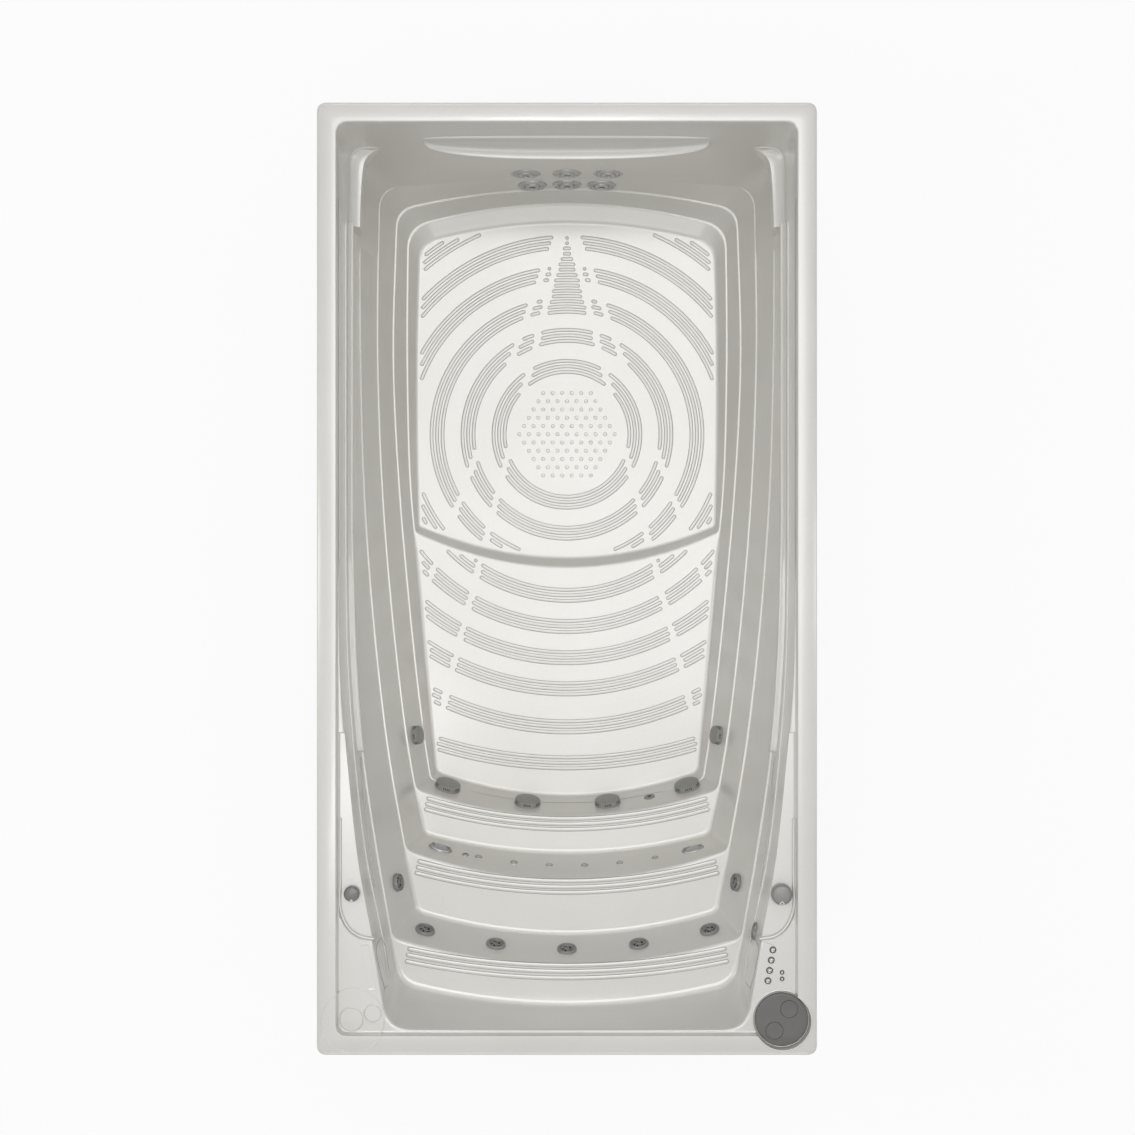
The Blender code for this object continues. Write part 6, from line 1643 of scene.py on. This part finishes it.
# Key, then name, colour, roughness, grain, relief, variation, metallic and coat.
FINISHES = (
    ("silver", ("silver_plastic", (0.52, 0.52, 0.51), 0.28, 700.0, 0.00003, 0.06, 0.40, 0.4)),
    ("jet", ("jet_grey", (0.262, 0.262, 0.252), 0.30, 700.0, 0.00003, 0.08, 0.0, 0.4)),
    ("shadow", ("recess_dark", (0.025, 0.025, 0.025), 0.6)),
    ("cover", ("cover_grey", (0.315, 0.317, 0.298), 0.42, 600.0, 0.00005, 0.08)),
    ("injector", ("injector_grey", (0.60, 0.59, 0.565), 0.26, 700.0, 0.00003, 0.06, 0.25, 0.3)),
    ("chrome", ("chrome", (0.36, 0.36, 0.36), 0.20, 500.0, 0.00001, 0.03, 1.0)),
    # Chrome darkened to paint the shade of the groove round each button cap.
    ("dark_metal", ("dark_metal", (0.085, 0.085, 0.072), 0.22, 500.0, 0.00002, 0.05, 0.85)),
    ("light_ring", ("light_ring_grey", (0.40, 0.40, 0.405), 0.24, 500.0, 0.00002, 0.05, 0.55, 0.2)),
    ("lens", ("lens_grey", (0.42, 0.415, 0.405), 0.22, 300.0, 0.00002, 0.06, 0.0, 0.6)),
    ("lid", ("lid_grey", (0.158, 0.155, 0.150), 0.42, 1200.0, 0.00008, 0.05)),
    ("socket", ("socket_dark", (0.10, 0.095, 0.088), 0.45, 800.0, 0.00005, 0.10)),
    ("knob", ("knob_grey", (0.315, 0.31, 0.305), 0.32, 900.0, 0.00003, 0.05, 0.0, 0.2)),
    ("knob_edge", ("knob_edge_grey", (0.27, 0.265, 0.26), 0.38, 900.0, 0.00003, 0.05)),
    ("dark_knob", ("knob_dark", (0.215, 0.213, 0.208), 0.34, 900.0, 0.00003, 0.06, 0.0, 0.2)),
    ("white", ("white_plastic", (0.80, 0.80, 0.79), 0.4, 600.0, 0.00003, 0.03)),
    ("fleece", ("filter_fleece", (0.80, 0.80, 0.78), 0.85, 220.0, 0.0003, 0.04)),
    ("board", ("board_grey", (0.105, 0.105, 0.108), 0.55, 260.0, 0.0002, 0.12)),
    ("trim", ("trim_grey", (0.085, 0.085, 0.088), 0.50, 400.0, 0.0001, 0.08)),
    ("steel", ("screw_steel", (0.55, 0.55, 0.56), 0.25, 500.0, 0.00002, 0.05, 1.0)),
    ("pan", ("pan_black", (0.045, 0.045, 0.046), 0.55, 300.0, 0.0002, 0.15)),
    ("pipe", ("pipe_white", (0.78, 0.78, 0.76), 0.38, 300.0, 0.00005, 0.04)),
    ("body", ("body_grey", (0.22, 0.22, 0.21), 0.45, 300.0, 0.00008, 0.08)),
    ("motor", ("motor_black", (0.055, 0.06, 0.065), 0.38, 300.0, 0.00008, 0.10, 0.0, 0.3)),
    ("brass", ("cast_brass", (0.58, 0.46, 0.24), 0.34, 260.0, 0.0001, 0.08, 1.0)),
)
HIDDEN_FINISHES = (
    ("timber", ("timber_frame", "step_frame")),
    ("pan", ("base_pan",)),
    ("pipe", ("swim_jet_plumbing", "suction_plumbing")),
    ("body", ("back_jet_bodies", "left_jet_body", "right_jet_body", "wall_jet_body",
              "air_injectors", "button_block", "control_box", "diverter_valve_body",
              "air_valve_body")),
    ("motor", ("left_pump_casing", "right_pump_casing")),
    ("brass", ("left_pump_impeller", "right_pump_impeller")),
)


def new_material(name):
    """A new material, its node tree and its main shader."""
    material = bpy.data.materials.new(name)
    material.use_nodes = True
    tree = material.node_tree
    return material, tree, tree.nodes["Principled BSDF"]


def set_inputs(node, **values):
    """Sets inputs of a node by name, with underscores for spaces."""
    for name, value in values.items():
        node.inputs[name.replace("_", " ")].default_value = value
    return node


def noise(tree, scale, detail=3.0):
    """Noise in object space."""
    place = tree.nodes.new("ShaderNodeTexCoord")
    texture = tree.nodes.new("ShaderNodeTexNoise")
    set_inputs(texture, Scale=scale, Detail=detail, Roughness=0.5)
    tree.links.new(place.outputs["Object"], texture.inputs["Vector"])
    return texture.outputs["Fac"]


def ramp(tree, source, stops):
    """A colour ramp over a value."""
    node = tree.nodes.new("ShaderNodeValToRGB")
    elements = node.color_ramp.elements
    for element, (position, colour) in zip(elements, (stops[0], stops[-1])):
        element.position = position
        element.color = (*colour, 1.0)
    for position, colour in stops[1:-1]:
        element = elements.new(position)
        element.color = (*colour, 1.0)
    tree.links.new(source, node.inputs["Fac"])
    return node.outputs["Color"]


def span(tree, source, low, high):
    """A value stretched to a new range."""
    node = tree.nodes.new("ShaderNodeMapRange")
    set_inputs(node, To_Min=low, To_Max=high)
    tree.links.new(source, node.inputs["Value"])
    return node.outputs["Result"]


def bump(tree, shader, source, distance):
    """Fine relief from a value."""
    node = tree.nodes.new("ShaderNodeBump")
    set_inputs(node, Distance=distance, Strength=1.0)
    tree.links.new(source, node.inputs["Height"])
    tree.links.new(node.outputs["Normal"], shader.inputs["Normal"])


def plastic(name, colour, roughness, grain=900.0, relief=0.00006, vary=0.12, metallic=0.0,
            coat=0.0):
    """A plastic or metal with a slight unevenness of colour, gloss and surface."""
    material, tree, shader = new_material(name)
    set_inputs(shader, Metallic=metallic, Coat_Weight=coat, Coat_Roughness=0.08)
    cloud = noise(tree, 14.0)
    dark = [c * (1 - vary) for c in colour]
    light = [min(c * (1 + vary), 1.0) for c in colour]
    tree.links.new(ramp(tree, cloud, ((0.3, dark), (0.7, light))), shader.inputs["Base Color"])
    tree.links.new(span(tree, cloud, roughness * 0.85, roughness * 1.2), shader.inputs["Roughness"])
    bump(tree, shader, noise(tree, grain, 2.0), relief)
    return material


def pearl_acrylic(name, share):
    """Pearl grey acrylic: a soft mica shimmer under a clear gloss; share is how bright it is."""
    material, tree, shader = new_material(name)
    set_inputs(shader, Metallic=0.12, Coat_Weight=0.8, Coat_Roughness=0.16, Coat_IOR=1.6)
    cloud = noise(tree, 2.2, 4.0)
    mica = noise(tree, 420.0, 2.0)
    dark, pale = ([share * c for c in colour] for colour in (PEARL_DARK, PEARL_PALE))
    tone = ramp(tree, cloud, ((0.3, dark), (0.7, pale)))
    spark = ramp(tree, mica, ((0.35, (0.93, 0.93, 0.93)), (0.65, (1.0, 1.0, 1.0))))
    mix = tree.nodes.new("ShaderNodeMix")
    mix.data_type = "RGBA"
    mix.blend_type = "MULTIPLY"
    mix.inputs["Factor"].default_value = 1.0
    tree.links.new(tone, mix.inputs["A"])
    tree.links.new(spark, mix.inputs["B"])
    tree.links.new(mix.outputs["Result"], shader.inputs["Base Color"])
    tree.links.new(span(tree, mica, 0.30, 0.42), shader.inputs["Roughness"])
    bump(tree, shader, cloud, 0.0006)
    return material


def make_finishes():
    """The finishes of the fittings and the cabinet, by name."""
    finishes = {key: plastic(*values) for key, values in FINISHES}
    finishes["timber"] = timber()
    return finishes


def timber():
    """Sawn softwood with long grain and darker rings."""
    material, tree, shader = new_material("sawn_timber")
    place = tree.nodes.new("ShaderNodeTexCoord")
    stretch = tree.nodes.new("ShaderNodeMapping")
    stretch.inputs["Scale"].default_value = (14.0, 14.0, 1.1)
    tree.links.new(place.outputs["Object"], stretch.inputs["Vector"])
    texture = tree.nodes.new("ShaderNodeTexNoise")
    set_inputs(texture, Scale=6.0, Detail=6.0, Distortion=0.6)
    tree.links.new(stretch.outputs["Vector"], texture.inputs["Vector"])
    grain = texture.outputs["Fac"]
    shade = ramp(tree, grain, ((0.30, (0.36, 0.235, 0.13)), (0.5, (0.50, 0.36, 0.215)),
                               (0.75, (0.60, 0.455, 0.29))))
    tree.links.new(shade, shader.inputs["Base Color"])
    tree.links.new(span(tree, grain, 0.55, 0.8), shader.inputs["Roughness"])
    bump(tree, shader, grain, 0.0006)
    return material


def paint_nodes(frame, finishes):
    """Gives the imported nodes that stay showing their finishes, through their material slots."""
    for finish, nodes in HIDDEN_FINISHES:
        for name in nodes:
            for slot in frame["nodes"][name].material_slots:
                slot.material = finishes[finish]


# ---------------------------------------------------------------- camera, floor and light
def emit_white(tree, strength):
    """A white glow."""
    node = tree.nodes.new("ShaderNodeEmission")
    return set_inputs(node, Color=WHITE, Strength=strength)


def seen_ray(tree):
    """1 for camera, glossy and transmission rays."""
    path = tree.nodes.new("ShaderNodeLightPath")
    total = path.outputs["Is Camera Ray"]
    for name in ("Is Glossy Ray", "Is Transmission Ray"):
        add = tree.nodes.new("ShaderNodeMath")
        add.operation = "MAXIMUM"
        tree.links.new(total, add.inputs[0])
        tree.links.new(path.outputs[name], add.inputs[1])
        total = add.outputs[0]
    return total


def make_floor():
    """A white floor that keeps the shadows and glows a little for the eye."""
    material, tree, shader = new_material("floor")
    set_inputs(shader, Base_Color=(0.82, 0.82, 0.82, 1.0), Roughness=0.9)
    mix = tree.nodes.new("ShaderNodeMixShader")
    share = tree.nodes.new("ShaderNodeMath")
    share.operation = "MULTIPLY"
    share.inputs[1].default_value = FLOOR_SHARE
    tree.links.new(seen_ray(tree), share.inputs[0])
    tree.links.new(share.outputs[0], mix.inputs["Fac"])
    tree.links.new(shader.outputs[0], mix.inputs[1])
    tree.links.new(emit_white(tree, FLOOR_GLOW).outputs[0], mix.inputs[2])
    tree.links.new(mix.outputs[0], tree.nodes["Material Output"].inputs["Surface"])
    bm = bmesh.new()
    bmesh.ops.create_grid(bm, x_segments=1, y_segments=1, size=FLOOR_SIZE)
    floor = mesh_object("floor", bm, material)


def make_world():
    """A white world: bright to the eye, dimmer as a light."""
    world = bpy.data.worlds.new("world")
    bpy.context.scene.world = world
    world.use_nodes = True
    tree = world.node_tree
    tree.nodes.clear()
    mix = tree.nodes.new("ShaderNodeMixShader")
    for slot, strength in ((1, WORLD_LEVEL), (2, 1.0)):
        node = tree.nodes.new("ShaderNodeBackground")
        set_inputs(node, Color=WHITE, Strength=strength)
        tree.links.new(node.outputs[0], mix.inputs[slot])
    out = tree.nodes.new("ShaderNodeOutputWorld")
    tree.links.new(seen_ray(tree), mix.inputs["Fac"])
    tree.links.new(mix.outputs[0], out.inputs["Surface"])


def make_stage():
    """A white floor, a white world, lamps and the camera."""
    make_floor()
    make_world()
    scene = bpy.context.scene
    sun = bpy.data.lights.new("sun", "SUN")
    sun.energy = SUN_LEVEL
    sun.angle = math.radians(SUN_ANGLE)
    lamp = bpy.data.objects.new("sun", sun)
    lamp.rotation_euler = (math.radians(-6), math.radians(2), 0.0)
    scene.collection.objects.link(lamp)
    for name, place, size, energy in LAMPS:
        area = bpy.data.lights.new(name, "AREA")
        area.shape = "RECTANGLE"
        area.size, area.size_y = size
        area.energy = energy
        lamp = bpy.data.objects.new(name, area)
        lamp.location = place
        aim = Vector(LAMP_AIM) - Vector(place)
        lamp.rotation_euler = aim.to_track_quat("-Z", "Y").to_euler()
        scene.collection.objects.link(lamp)
    camera = bpy.data.cameras.new("camera")
    camera.lens = CAMERA_LENS
    camera.sensor_width = SENSOR
    camera.clip_end = 100.0
    eye = bpy.data.objects.new("camera", camera)
    eye.location = CAMERA_PLACE
    scene.collection.objects.link(eye)
    scene.camera = eye
    scene.view_settings.view_transform = "Standard"


# ---------------------------------------------------------------- the whole
def main():
    """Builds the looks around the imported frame."""
    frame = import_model()
    make_stage()
    pearl = pearl_acrylic("pearl_acrylic", 1.0)
    # A darker copy of the pearl: painted shade for the steep sides of ribs and raised lines.
    painted_shade_pearl = pearl_acrylic("pearl_painted_shade", PAINTED_SHADE_SHARE)
    shell = make_shell(pearl, [tray_cutter(-1), tray_cutter(1), well_cutter()])
    dress(shell, "spa", "pearl_acrylic", "shell")
    moulded = [make_ribs(pearl, painted_shade_pearl), make_studs(pearl), moulded_lines(shell, pearl, painted_shade_pearl)]
    liner = upper_liner(pearl)
    tree = tree_of(liner)
    moulded += [liner, south_liner(pearl), scoop(pearl, tree)]
    for side in (-1, 1):
        moulded += [corner_shelf(side, pearl, tree), side_rail(side, pearl)]
    moulded += [filter_socket(pearl), badge_plate(pearl)]
    for obj in moulded:
        dress(obj, "spa", "pearl_acrylic")
    finishes = make_finishes()
    for make in (swim_jets, therapy_jets, suctions, small_fittings, step_lights, push_buttons):
        make(finishes)
    for name, place, radius, height, mark, cap, edge in KNOBS:
        looks = [finishes[key] for key in (cap, edge, "white", "shadow")]
        knob(name, place, radius, height, mark, looks)
    for make in (filter_cover, canister, cartridge, cabinet):
        make(finishes)
    paint_nodes(frame, finishes)


main()
